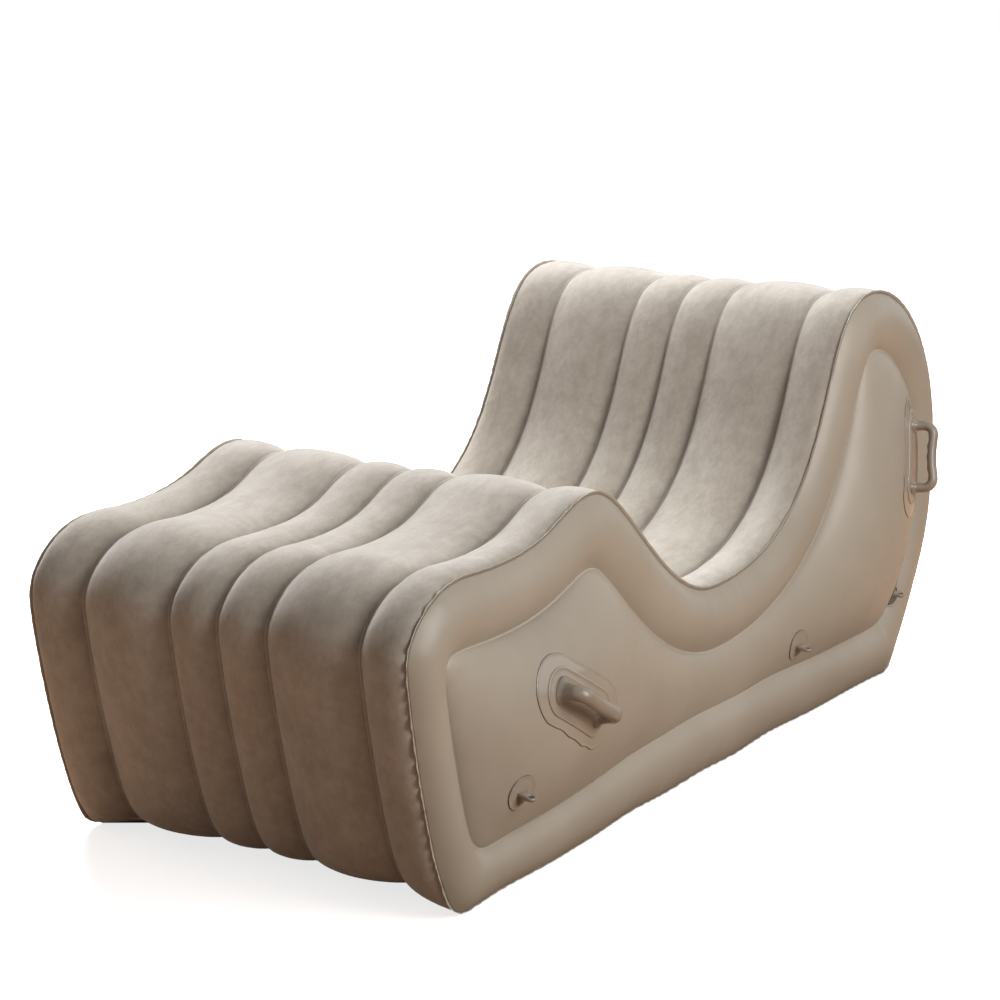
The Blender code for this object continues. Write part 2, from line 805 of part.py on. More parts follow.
def lug_form(name, frame):
    # A pierced tab that stands straight out from the disc
    bm = bmesh.new()
    hole = [Vector((0.0, LUG_REACH)) + p for p in circle(LUG_HOLE_RADIUS, LUG_HOLE_SIDES)]
    for outline in (lug_outline(), hole):
        verts = [bm.verts.new((p.x, -LUG_THICKNESS / 2, p.y)) for p in outline]
        for k, vert in enumerate(verts):
            bm.edges.new((verts[k - 1], vert))
    bmesh.ops.triangle_fill(bm, use_beauty=True, edges=bm.edges[:], normal=(0.0, 1.0, 0.0))
    grown = bmesh.ops.extrude_face_region(bm, geom=bm.faces[:])
    moved = [item for item in grown["geom"] if isinstance(item, bmesh.types.BMVert)]
    bmesh.ops.translate(bm, verts=moved, vec=(0.0, LUG_THICKNESS, 0.0))
    bmesh.ops.transform(bm, matrix=frame, verts=bm.verts[:])
    bmesh.ops.recalc_face_normals(bm, faces=bm.faces)
    return object_from(bm, name)


def lug_web_form(name, frame):
    # A wedge from under the tab, sunk a little into it and into the disc
    half = LUG_WEB_WIDTH / 2
    top = -LUG_THICKNESS / 4
    corners = (Vector((-OVERRUN, top)), Vector((LUG_WEB_REACH, top)),
               Vector((LUG_WEB_REACH, -LUG_THICKNESS)), Vector((-OVERRUN, -LUG_WEB_DROP)))
    points = [frame @ Vector((along, level.y, level.x))
              for along in (-half, half) for level in corners]
    size = len(corners)
    faces = [tuple(range(size)), tuple(range(size, 2 * size))]
    faces += [(k, (k + 1) % size, size + (k + 1) % size, size + k) for k in range(size)]
    return mesh_object(name, points, faces)


def loop_places():
    heights = (FRONT_LOOP_HEIGHT, OTHER_LOOP_HEIGHT, OTHER_LOOP_HEIGHT)
    words = ("front", "middle", "rear")
    return [(word, (share - 0.5) * LENGTH, height)
            for word, share, height in zip(words, LOOP_REACH_SHARES, heights)]


def tie_loop(word, side, reach, height, cutters):
    frame = seat_frame(side, reach, height, 0.0)
    body = prism("tie_loop_" + word, circle(LOOP_DISC_RADIUS, LOOP_DISC_SIDES), frame,
                 -LOOP_DISC_RADIUS / 2, LOOP_DISC_RADIUS / 2, "moulded")
    boolean(body, "INTERSECT", cutters["disc_layer"])
    # Local X runs along the tab's width, Y up the disc and Z outwards
    axes = frame.to_3x3().transposed()
    tab = Matrix((axes[0], axes[1] * side, axes[2])).transposed().to_4x4()
    tab.translation = frame.translation
    for form in (lug_web_form("lug_web_form_" + word, tab), lug_form("lug_form_" + word, tab)):
        boolean(form, "DIFFERENCE", cutters["under_lug"])
        boolean(body, "UNION", form)


def fitting_cutters(word, side):
    patch_top = CLEARANCE + PATCH_SHEET
    plate_low = patch_top + CLEARANCE
    disc_top = CLEARANCE + LOOP_DISC_THICKNESS
    slabs = {
        "patch_layer": (CLEARANCE, patch_top),
        "plate_layer": (plate_low, plate_low + PLATE_THICKNESS),
        "under_grip": (-CUTTER_DEPTH, plate_low + PLATE_THICKNESS / 2),
        "disc_layer": (CLEARANCE, disc_top),
        "under_lug": (-CUTTER_DEPTH, CLEARANCE + LOOP_DISC_THICKNESS / 2),
        "under_flange": (-CUTTER_DEPTH, CLEARANCE),
    }
    return {name: surface_slab("cut_" + name + "_" + word, side, low, high)
            for name, (low, high) in slabs.items()}


def handle_places():
    front = Vector(((FRONT_HANDLE_REACH_SHARE - 0.5) * LENGTH,
                    FRONT_HANDLE_HEIGHT_SHARE * STEP_HEIGHT))
    rear = Vector(((REAR_HANDLE_REACH_SHARE - 0.5) * LENGTH,
                   REAR_HANDLE_HEIGHT_SHARE * BACK_HEIGHT))
    return ("front", front, FRONT_HANDLE_LEAN), ("rear", rear, REAR_HANDLE_LEAN)


def side_fittings():
    made = {}
    for word, side in (("right", 1), ("left", -1)):
        cutters = fitting_cutters(word, side)
        for place, spot, lean in handle_places():
            handle(place + "_" + word, side, spot.x, spot.y, lean, cutters)
        for place, reach, height in loop_places():
            tie_loop(place + "_" + word, side, reach, height, cutters)
        made[word] = cutters
    return made


# Air valve, turned about its own axis, which points out of the left panel

def turned(name, profile, kind=None):
    # Profile points are (radius, height along the axis), as a closed section
    bm = bmesh.new()
    rings = []
    for k in range(TURNED_SIDES):
        angle = 2 * math.pi * (k + TURNED_START_SHARE) / TURNED_SIDES
        rings.append([bm.verts.new((r * math.cos(angle), r * math.sin(angle), h))
                      for r, h in profile])
    for k in range(TURNED_SIDES):
        for j in range(len(profile)):
            a, b = rings[k - 1], rings[k]
            bm.faces.new((a[j - 1], a[j], b[j], b[j - 1]))
    bmesh.ops.remove_doubles(bm, verts=bm.verts[:], dist=CLEARANCE / 100)
    bmesh.ops.recalc_face_normals(bm, faces=bm.faces)
    return object_from(bm, name, kind)


def block(name, low, high, kind=None):
    points = [(x, y, z) for z in (low[2], high[2])
              for x, y in ((low[0], low[1]), (high[0], low[1]), (high[0], high[1]),
                           (low[0], high[1]))]
    faces = [(0, 1, 2, 3), (4, 5, 6, 7)]
    faces += [(k, (k + 1) % 4, 4 + (k + 1) % 4, 4 + k) for k in range(4)]
    return mesh_object(name, points, faces, kind)


def barrel(name, radius, width, place, kind=None):
    # A short rod along the local Y axis
    sides = 12
    points = [Vector((p.x + place.x, y, p.y + place.z))
              for y in (-width / 2, width / 2) for p in circle(radius, sides)]
    faces = [tuple(range(sides)), tuple(range(sides, 2 * sides))]
    faces += [(k, (k + 1) % sides, sides + (k + 1) % sides, sides + k) for k in range(sides)]
    return mesh_object(name, points, faces, kind)


SEAL_LOW = VALVE_FLANGE_THICKNESS + CLEARANCE
FLANGE_LOW = SEAL_LOW + SEAL_THICKNESS + CLEARANCE
FLANGE_HIGH = FLANGE_LOW + INSERT_FLANGE_THICKNESS
FLANGE_RADIUS = BORE_RADIUS + INSERT_FLANGE_OVERHANG
INSERT_BORE = BORE_RADIUS - CLEARANCE - INSERT_WALL
CAP_LOW = FLANGE_HIGH + CLEARANCE
CAP_HIGH = CAP_LOW + CAP_THICKNESS
HINGE_PLACE = Vector((FLANGE_RADIUS + HINGE_AXIS_INSET, 0.0, FLANGE_HIGH + HINGE_BEAD_RADIUS))


def valve_place():
    # The highest point of the side surface that is clear of both handles
    clear = PATCH_LENGTH / 2 + 2 * VALVE_FLANGE_RADIUS
    free = [k for k, spot in enumerate(FLAT)
            if all((spot - place).length > clear for _, place, _ in handle_places())]
    return FLAT[max(free, key=lambda k: LEVELS[k])]


def valve_axis():
    # An empty on the left panel, its Z axis pointing out and X to the foot end
    crown = valve_place()
    start = Vector((-WIDTH, crown.x, crown.y))
    place, _, _, _ = surface_tree(-1).ray_cast(start, Vector((1.0, 0.0, 0.0)))
    axis = bpy.data.objects.new("valve_axis", None)
    bpy.context.scene.collection.objects.link(axis)
    axis.matrix_world = Matrix.Translation(place) @ Matrix.Rotation(-math.pi / 2, 4, "Y") \
        @ Matrix.Rotation(-math.pi / 2, 4, "Z")
    return axis


def hang_on(obj, parent):
    obj.parent = parent
    return obj


def valve_base(axis, panel, cutters):
    collar = BORE_RADIUS + COLLAR_WALL
    washer = [(BORE_RADIUS, -COLLAR_DEPTH), (VALVE_FLANGE_RADIUS, -COLLAR_DEPTH),
              (VALVE_FLANGE_RADIUS, VALVE_FLANGE_THICKNESS), (BORE_RADIUS, VALVE_FLANGE_THICKNESS)]
    base = hang_on(turned("valve_base", washer, "valve"), axis)
    boolean(base, "DIFFERENCE", cutters["under_flange"])
    sleeve = [(BORE_RADIUS, -COLLAR_DEPTH), (collar, -COLLAR_DEPTH),
              (collar, VALVE_FLANGE_THICKNESS), (BORE_RADIUS, VALVE_FLANGE_THICKNESS)]
    boolean(base, "UNION", hang_on(turned("collar_form", sleeve), axis))
    reach = COLLAR_DEPTH + OVERRUN
    drill = [(0.0, -reach), (collar + CLEARANCE, -reach), (collar + CLEARANCE, reach), (0.0, reach)]
    boolean(panel, "DIFFERENCE", hang_on(turned("cut_valve_hole", drill), axis))


def valve_insert(axis):
    outer = BORE_RADIUS - CLEARANCE
    body = [(INSERT_BORE, -INSERT_DEPTH), (outer, -INSERT_DEPTH), (outer, FLANGE_LOW),
            (FLANGE_RADIUS, FLANGE_LOW), (FLANGE_RADIUS, FLANGE_HIGH), (INSERT_BORE, FLANGE_HIGH)]
    insert = hang_on(turned("valve_insert", body, "valve"), axis)
    top = -INSERT_DEPTH + SEAT_THICKNESS
    hub = [(STEM_RADIUS + CLEARANCE, -INSERT_DEPTH), (HUB_RADIUS, -INSERT_DEPTH),
           (HUB_RADIUS, top), (STEM_RADIUS + CLEARANCE, top)]
    boolean(insert, "UNION", hang_on(turned("hub_form", hub), axis))
    middle = (HUB_RADIUS + STEM_RADIUS) / 2
    for k in range(SPOKE_COUNT):
        spoke = block("spoke_form_" + str(k), (middle, -SPOKE_WIDTH / 2, -INSERT_DEPTH),
                      (INSERT_BORE + INSERT_WALL / 2, SPOKE_WIDTH / 2, top))
        spoke.rotation_euler = (0.0, 0.0, 2 * math.pi * k / SPOKE_COUNT)
        boolean(insert, "UNION", hang_on(spoke, axis))
    lug = block("hinge_block_form", (FLANGE_RADIUS - CAP_RIM, -HINGE_WIDTH / 2, FLANGE_LOW),
                (FLANGE_RADIUS + HINGE_BLOCK_REACH, HINGE_WIDTH / 2, HINGE_PLACE.z))
    boolean(insert, "UNION", hang_on(lug, axis))
    groove = barrel("cut_hinge_groove", HINGE_BEAD_RADIUS + CLEARANCE, HINGE_WIDTH + OVERRUN,
                    HINGE_PLACE)
    boolean(insert, "DIFFERENCE", hang_on(groove, axis))


def valve_seal(axis):
    inner = BORE_RADIUS
    ring = [(inner, SEAL_LOW), (inner + SEAL_WIDTH, SEAL_LOW),
            (inner + SEAL_WIDTH, SEAL_LOW + SEAL_THICKNESS), (inner, SEAL_LOW + SEAL_THICKNESS)]
    hang_on(turned("valve_seal", ring, "rubber"), axis)


def valve_flap(axis):
    # A disc under the seat, on a stem whose bead lets it drop by its travel
    high = -INSERT_DEPTH - CLEARANCE
    low = high - FLAP_THICKNESS
    radius = INSERT_BORE + INSERT_WALL / 2
    bead = -INSERT_DEPTH + SEAT_THICKNESS + FLAP_TRAVEL + CLEARANCE
    profile = [(0.0, low), (radius, low), (radius, high), (STEM_RADIUS, high),
               (STEM_RADIUS, bead), (STEM_BEAD_RADIUS, bead),
               (STEM_BEAD_RADIUS, bead + STEM_BEAD_THICKNESS), (0.0, bead + STEM_BEAD_THICKNESS)]
    hang_on(turned("valve_flap", profile, "rubber"), axis)


def valve_cap(axis):
    # A lid with a plug below, a pull tab, and a tongue to its hinge bead; its origin
    # is on the hinge axis
    plug = INSERT_BORE - CLEARANCE
    lid = FLANGE_RADIUS - 2 * CAP_RIM
    profile = [(0.0, CAP_LOW - PLUG_DEPTH), (plug - PLUG_TAPER, CAP_LOW - PLUG_DEPTH),
               (plug, CAP_LOW),
               (lid, CAP_LOW), (lid, CAP_HIGH - CAP_RIM), (lid - CAP_RIM, CAP_HIGH),
               (0.0, CAP_HIGH)]
    cap = turned("valve_cap", profile, "valve")
    tab = block("tab_form", (-lid - CAP_TAB_REACH, -CAP_TAB_WIDTH / 2, CAP_LOW),
                (-lid + OVERRUN, CAP_TAB_WIDTH / 2, CAP_LOW + CAP_THICKNESS / 2))
    tongue = block("tongue_form", (lid - OVERRUN, -HINGE_WIDTH / 2, HINGE_PLACE.z + CLEARANCE),
                   (HINGE_PLACE.x, HINGE_WIDTH / 2,
                    HINGE_PLACE.z + HINGE_BEAD_RADIUS * TONGUE_SHARE))
    bead = barrel("bead_form", HINGE_BEAD_RADIUS, HINGE_WIDTH, HINGE_PLACE)
    pivot = Matrix.Translation(-HINGE_PLACE)
    for piece in (cap, tab, tongue, bead):
        piece.data.transform(pivot)
        piece.location = HINGE_PLACE
        hang_on(piece, axis)
    for piece in (tab, tongue, bead):
        boolean(cap, "UNION", piece)


def build():
    clear_scene()
    flocked_top()
    bottom_sheet()
    side_panel("side_panel_right", 1)
    left_panel = side_panel("side_panel_left", -1)
    inner_sheets()
    cutters = side_fittings()
    axis = valve_axis()
    valve_base(axis, left_panel, cutters["left"])
    valve_insert(axis)
    valve_seal(axis)
    valve_flap(axis)
    valve_cap(axis)


build()
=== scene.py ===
import math
import bpy
import bmesh
import numpy as np
from mathutils import Matrix, Vector, noise
from mathutils.bvhtree import BVHTree
from mathutils.geometry import delaunay_2d_cdt


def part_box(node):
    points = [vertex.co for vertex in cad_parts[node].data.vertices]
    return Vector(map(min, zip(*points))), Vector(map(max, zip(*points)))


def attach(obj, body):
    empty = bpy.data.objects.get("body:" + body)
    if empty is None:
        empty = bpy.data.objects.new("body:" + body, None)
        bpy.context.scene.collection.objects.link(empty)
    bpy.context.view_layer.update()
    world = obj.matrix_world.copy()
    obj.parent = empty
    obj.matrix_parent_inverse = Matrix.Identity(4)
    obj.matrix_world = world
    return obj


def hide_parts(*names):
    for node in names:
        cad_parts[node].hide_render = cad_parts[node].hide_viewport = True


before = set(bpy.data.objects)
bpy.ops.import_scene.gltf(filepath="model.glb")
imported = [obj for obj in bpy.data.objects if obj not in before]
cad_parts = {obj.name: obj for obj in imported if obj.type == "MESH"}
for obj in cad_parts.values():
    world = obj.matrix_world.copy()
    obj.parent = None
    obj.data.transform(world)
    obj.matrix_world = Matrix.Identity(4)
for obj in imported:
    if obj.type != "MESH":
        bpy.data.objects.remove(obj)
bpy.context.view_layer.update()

# Inflatable wave lounger. Metres, +Z up, X across, Y from the foot end to the back.

lounger = {
    "length": 1.735,
    "width": 0.690,
    "stepHeight": 0.503,
    "crestHeight": 0.557,
    "seatHeight": 0.320,
    "backHeight": 0.735,
    "noseShare": 0.825,
    "tailShare": 0.596,
    "reachShares": (0.073, 0.0, 0.084, 0.282, 0.510, 0.839, 1.0, 0.905),
    "headings": (160.0, 90.0, -4.0, 0.0, 0.0, 0.0, -90.0, -124.0),
    "leadShares": ((0.15, 0.12), (0.12, 0.57), (0.72, 0.28), (0.21, 0.37),
                   (0.67, 0.32), (0.37, 0.34), (0.43, 0.60)),
    "seamLevel": 0.001,      # height of the lowest seam above the floor
    "stationGap": 0.006,     # spacing of the stations along the seam
    "cornerRounding": 0.017,
    "floorLift": 0.016,      # how far the side seams rise between the floor corners
    # width of the edge tube on the sides, at each station and mid-floor
    "tubeWidths": (0.78, 0.78, 1.04, 1.06, 1.07, 1.0, 1.0, 1.0, 1.06),
    "floorMiddle": 0.556,
    "curveSteps": 160,
    "roundingGap": 0.004,    # spacing of the points that the rounding moves
}

halfWidth = lounger["width"] / 2


# Camera

camera = {
    "place": (2.354, -3.7175, 1.469),
    "turn": 33.07,           # degrees from straight behind the foot end
    "pitch": 13.32,          # degrees down
    "lens": 95.4,
    "sensor": 36.0,
}


def makeCamera():
    data = bpy.data.cameras.new("photo_camera")
    data.lens = camera["lens"]
    data.sensor_width = camera["sensor"]
    data.clip_end = 60.0
    obj = bpy.data.objects.new("photo_camera", data)
    bpy.context.scene.collection.objects.link(obj)
    turn, pitch = math.radians(camera["turn"]), math.radians(camera["pitch"])
    look = Vector((-math.sin(turn) * math.cos(pitch), math.cos(turn) * math.cos(pitch),
                   -math.sin(pitch)))
    obj.location = camera["place"]
    obj.rotation_euler = look.to_track_quat("-Z", "Y").to_euler()
    bpy.context.scene.camera = obj


makeCamera()
print("camera placed")


# Node helpers

def newMaterial(name):
    made = bpy.data.materials.new(name)
    made.use_nodes = True
    tree = made.node_tree
    return made, tree, tree.nodes["Principled BSDF"]


def addNode(tree, kind, **values):
    node = tree.nodes.new(kind)
    for key, value in values.items():
        if key in node.inputs:
            node.inputs[key].default_value = value
        else:
            setattr(node, key, value)
    return node


def noiseNode(tree, scale, detail=2.0, roughness=0.5, stretch=None):
    # Noise in object space, in metres, stretched where the finish has a direction
    coords = addNode(tree, "ShaderNodeTexCoord")
    made = addNode(tree, "ShaderNodeTexNoise", Scale=scale, Detail=detail, Roughness=roughness)
    if stretch:
        mapping = addNode(tree, "ShaderNodeMapping")
        mapping.inputs["Scale"].default_value = stretch
        tree.links.new(coords.outputs["Object"], mapping.inputs["Vector"])
        tree.links.new(mapping.outputs["Vector"], made.inputs["Vector"])
    else:
        tree.links.new(coords.outputs["Object"], made.inputs["Vector"])
    return made.outputs["Fac"]


def ramp(tree, source, stops):
    made = addNode(tree, "ShaderNodeValToRGB")
    while len(made.color_ramp.elements) < len(stops):
        made.color_ramp.elements.new(0.5)
    for element, (place, colour) in zip(made.color_ramp.elements, stops):
        element.position = place
        element.color = (*colour, 1.0)
    tree.links.new(source, made.inputs["Fac"])
    return made.outputs["Color"]


def mixColour(tree, share, first, second):
    made = addNode(tree, "ShaderNodeMix", data_type="RGBA")
    for number, value in ((0, share), (6, first), (7, second)):
        socket = made.inputs[number]
        if isinstance(value, bpy.types.NodeSocket):
            tree.links.new(value, socket)
        elif isinstance(value, tuple):
            socket.default_value = (*value, 1.0)
        else:
            socket.default_value = value
    return made.outputs[2]


def rangeOf(tree, source, low, high, fromLow=0.0, fromHigh=1.0):
    made = addNode(tree, "ShaderNodeMapRange")
    made.inputs["From Min"].default_value = fromLow
    made.inputs["From Max"].default_value = fromHigh
    made.inputs["To Min"].default_value = low
    made.inputs["To Max"].default_value = high
    tree.links.new(source, made.inputs["Value"])
    return made.outputs["Result"]


def bump(tree, height, distance, strength=1.0, below=None):
    made = addNode(tree, "ShaderNodeBump", Strength=strength, Distance=distance)
    tree.links.new(height, made.inputs["Height"])
    if below is not None:
        tree.links.new(below, made.inputs["Normal"])
    return made.outputs["Normal"]


def attribute(tree, name):
    return addNode(tree, "ShaderNodeAttribute", attribute_name=name).outputs["Fac"]


def finishShader(tree, shader, colour, roughness, normal):
    tree.links.new(colour, shader.inputs["Base Color"])
    tree.links.new(roughness, shader.inputs["Roughness"])
    tree.links.new(normal, shader.inputs["Normal"])


def setCoat(shader, look):
    shader.inputs["Coat Weight"].default_value = look["coat"]
    shader.inputs["Coat Roughness"].default_value = look["coatRoughness"]


def cloudy(tree, source, look):
    return ramp(tree, source, ((0.3, look["dark"]), (0.7, look["light"])))


# Materials. Noise is given as scale, detail, roughness and stretch

flocking = {
    "colour": (0.500, 0.455, 0.400),
    "dark": (0.385, 0.340, 0.292),
    "light": (0.615, 0.572, 0.512),
    # light bead colour: partly a lighter crushed nap, partly a painted highlight
    "weld": (0.620, 0.575, 0.515),
    # painted shade: dark colour laid into the weld grooves, where the valleys fall into shade
    "groove": (0.210, 0.172, 0.140),
    "patches": (12.0, 8.0, 0.74, (1.0, 0.50, 0.8)),
    "patchStops": (0.36, 0.50, 0.64),
    "brushed": (60.0, 5.0, 0.72, (1.0, 0.42, 0.70)),
    "brushedStops": (0.40, 0.60),
    "brushedBump": (0.0011, 0.6),    # depth and strength
    "clouds": (26.0, 5.0, 0.70),
    "cloudShare": 0.25,
    "cloudBump": (0.0012, 0.5),
    "fibres": (900.0, 2.0, 0.6),
    "fibreShare": 0.45,
    "fibreBump": (0.0003, 0.6),
    "napShare": 0.34,        # how strongly the brushed nap shows
    "beadShare": 0.75,
    "grooveShadeShare": 0.50,
    "roughness": (0.86, 0.98),
    "sheen": 0.75,
    "sheenRoughness": 0.38,
    "specular": 0.15,
}


def makeFlocking():
    look = flocking
    made, tree, shader = newMaterial("flocked_velour")
    shader.inputs["Sheen Weight"].default_value = look["sheen"]
    shader.inputs["Sheen Roughness"].default_value = look["sheenRoughness"]
    shader.inputs["Specular IOR Level"].default_value = look["specular"]
    patches, brushed, clouds, fibres = (
        noiseNode(tree, *look[key]) for key in ("patches", "brushed", "clouds", "fibres"))
    tones = (look["dark"], look["colour"], look["light"])
    base = ramp(tree, patches, tuple(zip(look["patchStops"], tones)))
    nap = mixColour(tree, look["cloudShare"], base, cloudy(tree, clouds, look))
    strokes = ramp(tree, brushed, tuple(zip(look["brushedStops"], tones[::2])))
    nap = mixColour(tree, look["napShare"], nap, strokes)
    fine = mixColour(tree, rangeOf(tree, fibres, 0.0, look["fibreShare"]), nap, look["dark"])
    marks = attribute(tree, "weld")
    # The beads take the light weld colour, partly crushed nap and partly painted highlight
    beaded = mixColour(tree, rangeOf(tree, marks, 0.0, look["beadShare"]), fine, look["weld"])
    # Painted shade darkens the groove of each weld
    welded = mixColour(tree, rangeOf(tree, marks, look["grooveShadeShare"], 0.0, -1.0, 0.0), beaded,
                       look["groove"])
    soft = bump(tree, clouds, *look["cloudBump"])
    soft = bump(tree, brushed, *look["brushedBump"], soft)
    finishShader(tree, shader, welded, rangeOf(tree, patches, *look["roughness"]),
                 bump(tree, fibres, *look["fibreBump"], soft))
    return made


panelVinyl = {
    "dark": (0.376, 0.330, 0.265),
    "light": (0.432, 0.386, 0.318),
    # painted highlight: lightens the weld ring's crease and the lit lip of the seam flange
    "edge": (0.560, 0.510, 0.445),
    "clouds": (5.0, 3.0, 0.55),
    "grain": (420.0, 3.0, 0.55),
    "grainBump": (0.00012, 0.5),
    "scuffs": (55.0, 6.0, 0.75, (1.0, 0.35, 1.0)),
    "scuffed": (0.0, 0.35, 0.62, 0.80),
    "roughness": (0.36, 0.50, 0.3, 0.7),
    "coat": 0.12,
    "coatRoughness": 0.30,
}


def makePanelVinyl():
    look = panelVinyl
    made, tree, shader = newMaterial("panel_vinyl")
    setCoat(shader, look)
    clouds, grain, scuffs = (
        noiseNode(tree, *look[key]) for key in ("clouds", "grain", "scuffs"))
    worn = mixColour(tree, rangeOf(tree, scuffs, *look["scuffed"]), cloudy(tree, clouds, look),
                     look["light"])
    # Painted highlight where the weld attribute is set
    finishShader(tree, shader, mixColour(tree, attribute(tree, "weld"), worn, look["edge"]),
                 rangeOf(tree, scuffs, *look["roughness"]),
                 bump(tree, grain, *look["grainBump"]))
    return made


clearFilm = {
    "dark": (0.370, 0.326, 0.266),
    "light": (0.405, 0.360, 0.296),
    # painted shade: dark line round the film's edge, where it meets the sheet
    "edge": (0.130, 0.095, 0.070),
    "ripples": (38.0, 2.0, 0.5, (1.0, 0.6, 1.4)),
    "rippleBump": (0.0010, 0.25),
    "clouds": (12.0, 3.0),
    "roughness": (0.30, 0.42),
    "coat": 0.9,
    "coatRoughness": 0.10,
}


def makeClearFilm():
    # Clear film welded over the sheet: the sheet's colour under a glossy skin
    look = clearFilm
    made, tree, shader = newMaterial("clear_film")
    setCoat(shader, look)
    ripples, clouds = (noiseNode(tree, *look[key]) for key in ("ripples", "clouds"))
    # Painted shade: the edge marks darken the film's outline
    edged = mixColour(tree, attribute(tree, "weld"), cloudy(tree, clouds, look), look["edge"])
    finishShader(tree, shader, edged, rangeOf(tree, clouds, *look["roughness"]),
                 bump(tree, ripples, *look["rippleBump"]))
    return made


moulding = {
    "colour": (0.300, 0.250, 0.198),
    "dark": (0.266, 0.218, 0.170),
    "light": (0.335, 0.284, 0.230),
    "edge": (0.450, 0.392, 0.322),
    # painted shade: dark line round the foot of the tie loops' discs
    "groove": (0.095, 0.075, 0.058),
    "flow": (30.0, 3.0, 0.55, (1.0, 0.5, 0.5)),
    "flowStops": (0.28, 0.5, 0.74),
    "specks": (650.0, 2.0, 0.6),
    "speckBump": (0.00010, 0.5),
    "rubs": (90.0, 5.0, 0.72),
    "rubbed": (0.0, 0.30, 0.60, 0.78),
    "roughness": (0.26, 0.42, 0.3, 0.7),
    "coat": 0.35,
    "coatRoughness": 0.14,
}


def makeMoulding():
    look = moulding
    made, tree, shader = newMaterial("moulded_vinyl")
    setCoat(shader, look)
    flow, specks, rubs = (noiseNode(tree, *look[key]) for key in ("flow", "specks", "rubs"))
    tones = (look["dark"], look["colour"], look["light"])
    base = ramp(tree, flow, tuple(zip(look["flowStops"], tones)))
    rubbed = mixColour(tree, rangeOf(tree, rubs, *look["rubbed"]), base, look["light"])
    marks = attribute(tree, "weld")
    edged = mixColour(tree, rangeOf(tree, marks, 0.0, 1.0), rubbed, look["edge"])
    # Painted shade where the mark is below zero
    lined = mixColour(tree, rangeOf(tree, marks, 1.0, 0.0, -1.0, 0.0), edged, look["groove"])
    finishShader(tree, shader, lined, rangeOf(tree, rubs, *look["roughness"]),
                 bump(tree, specks, *look["speckBump"]))
    return made


innerVinyl = {
    "dark": (0.50, 0.46, 0.40),
    "light": (0.58, 0.53, 0.47),
    "clouds": (7.0, 3.0),
    "grain": (380.0, 2.0),
    "grainBump": (0.00012, 0.5),
    "roughness": (0.42, 0.55),
    "coat": 0.0,
    "coatRoughness": 0.03,
}

valvePlastic = {
    "dark": (0.400, 0.355, 0.302),
    "light": (0.450, 0.402, 0.345),
    "clouds": (45.0, 3.0),
    "grain": (800.0, 2.0),
    "grainBump": (0.00006, 0.6),
    "roughness": (0.32, 0.44),
    "coat": 0.15,
    "coatRoughness": 0.20,
}

valveRubber = {
    "dark": (0.035, 0.033, 0.031),
    "light": (0.060, 0.056, 0.052),
    "clouds": (120.0, 4.0, 0.65),
    "grain": (900.0, 2.0),
    "grainBump": (0.00008, 0.6),
    "roughness": (0.55, 0.72),
    "coat": 0.0,
    "coatRoughness": 0.03,
}


def makeTwoTone(name, look):
    # Soft clouds of two tones under a fine grain
    made, tree, shader = newMaterial(name)
    setCoat(shader, look)
    clouds, grain = (noiseNode(tree, *look[key]) for key in ("clouds", "grain"))
    finishShader(tree, shader, cloudy(tree, clouds, look),
                 rangeOf(tree, clouds, *look["roughness"]),
                 bump(tree, grain, *look["grainBump"]))
    return made


materials = {
    "clear_patch": makeClearFilm(),
    "moulded_fittings": makeMoulding(),
    "valve_plastic": makeTwoTone("valve_plastic", valvePlastic),
    "valve_rubber": makeTwoTone("valve_rubber", valveRubber),
    "flocked_top": makeFlocking(),
    "side_sheet": makePanelVinyl(),
    "inner_sheet": makeTwoTone("inner_vinyl", innerVinyl),
}
print("materials made")


# Mesh helpers

def newPiece(name, bm, slot, smooth=True):
    mesh = bpy.data.meshes.new(name)
    bm.to_mesh(mesh)
    bm.free()
    if smooth:
        mesh.shade_smooth()
    mesh.materials.append(materials[slot])
    obj = bpy.data.objects.new(name, mesh)
    bpy.context.scene.collection.objects.link(obj)
    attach(obj, "lounger")
    return obj


def weldMesh():
    # An empty mesh with room to mark its welds
    bm = bmesh.new()
    return bm, bm.verts.layers.float.new("weld")


def turnFaces(bm, way=None):
    # All faces to one side of the surface, and that side to look the way given
    bmesh.ops.recalc_face_normals(bm, faces=bm.faces)
    if way and sum(face.normal.dot(way) * face.calc_area() for face in bm.faces) < 0:
        bmesh.ops.reverse_faces(bm, faces=bm.faces)


def joinRings(bm, rings, capped=True):
    for low, high in zip(rings, rings[1:]):
        for k in range(len(low)):
            bm.faces.new((low[k - 1], low[k], high[k], high[k - 1]))
    if capped:
        bm.faces.new(rings[0])
        bm.faces.new(rings[-1])


def gridMesh(rows, closedAcross=False, closedAlong=False):
    # Rows of equal length joined by quads
    bm, _ = weldMesh()
    verts = [[bm.verts.new(p) for p in row] for row in rows]
    size = len(rows[0])
    for i in range(len(rows) if closedAlong else len(rows) - 1):
        ahead = verts[(i + 1) % len(rows)]
        for k in range(size if closedAcross else size - 1):
            nxt = (k + 1) % size
            bm.faces.new((verts[i][k], verts[i][nxt], ahead[nxt], ahead[k]))
    return bm, verts


def thicken(obj, thickness):
    # The drawn surface is the outer face
    step = obj.modifiers.new("thickness", "SOLIDIFY")
    step.thickness = thickness
    step.offset = -1.0
    step.use_even_offset = True


# The seam outline, in (length, height), as evenly spaced stations with outward normals

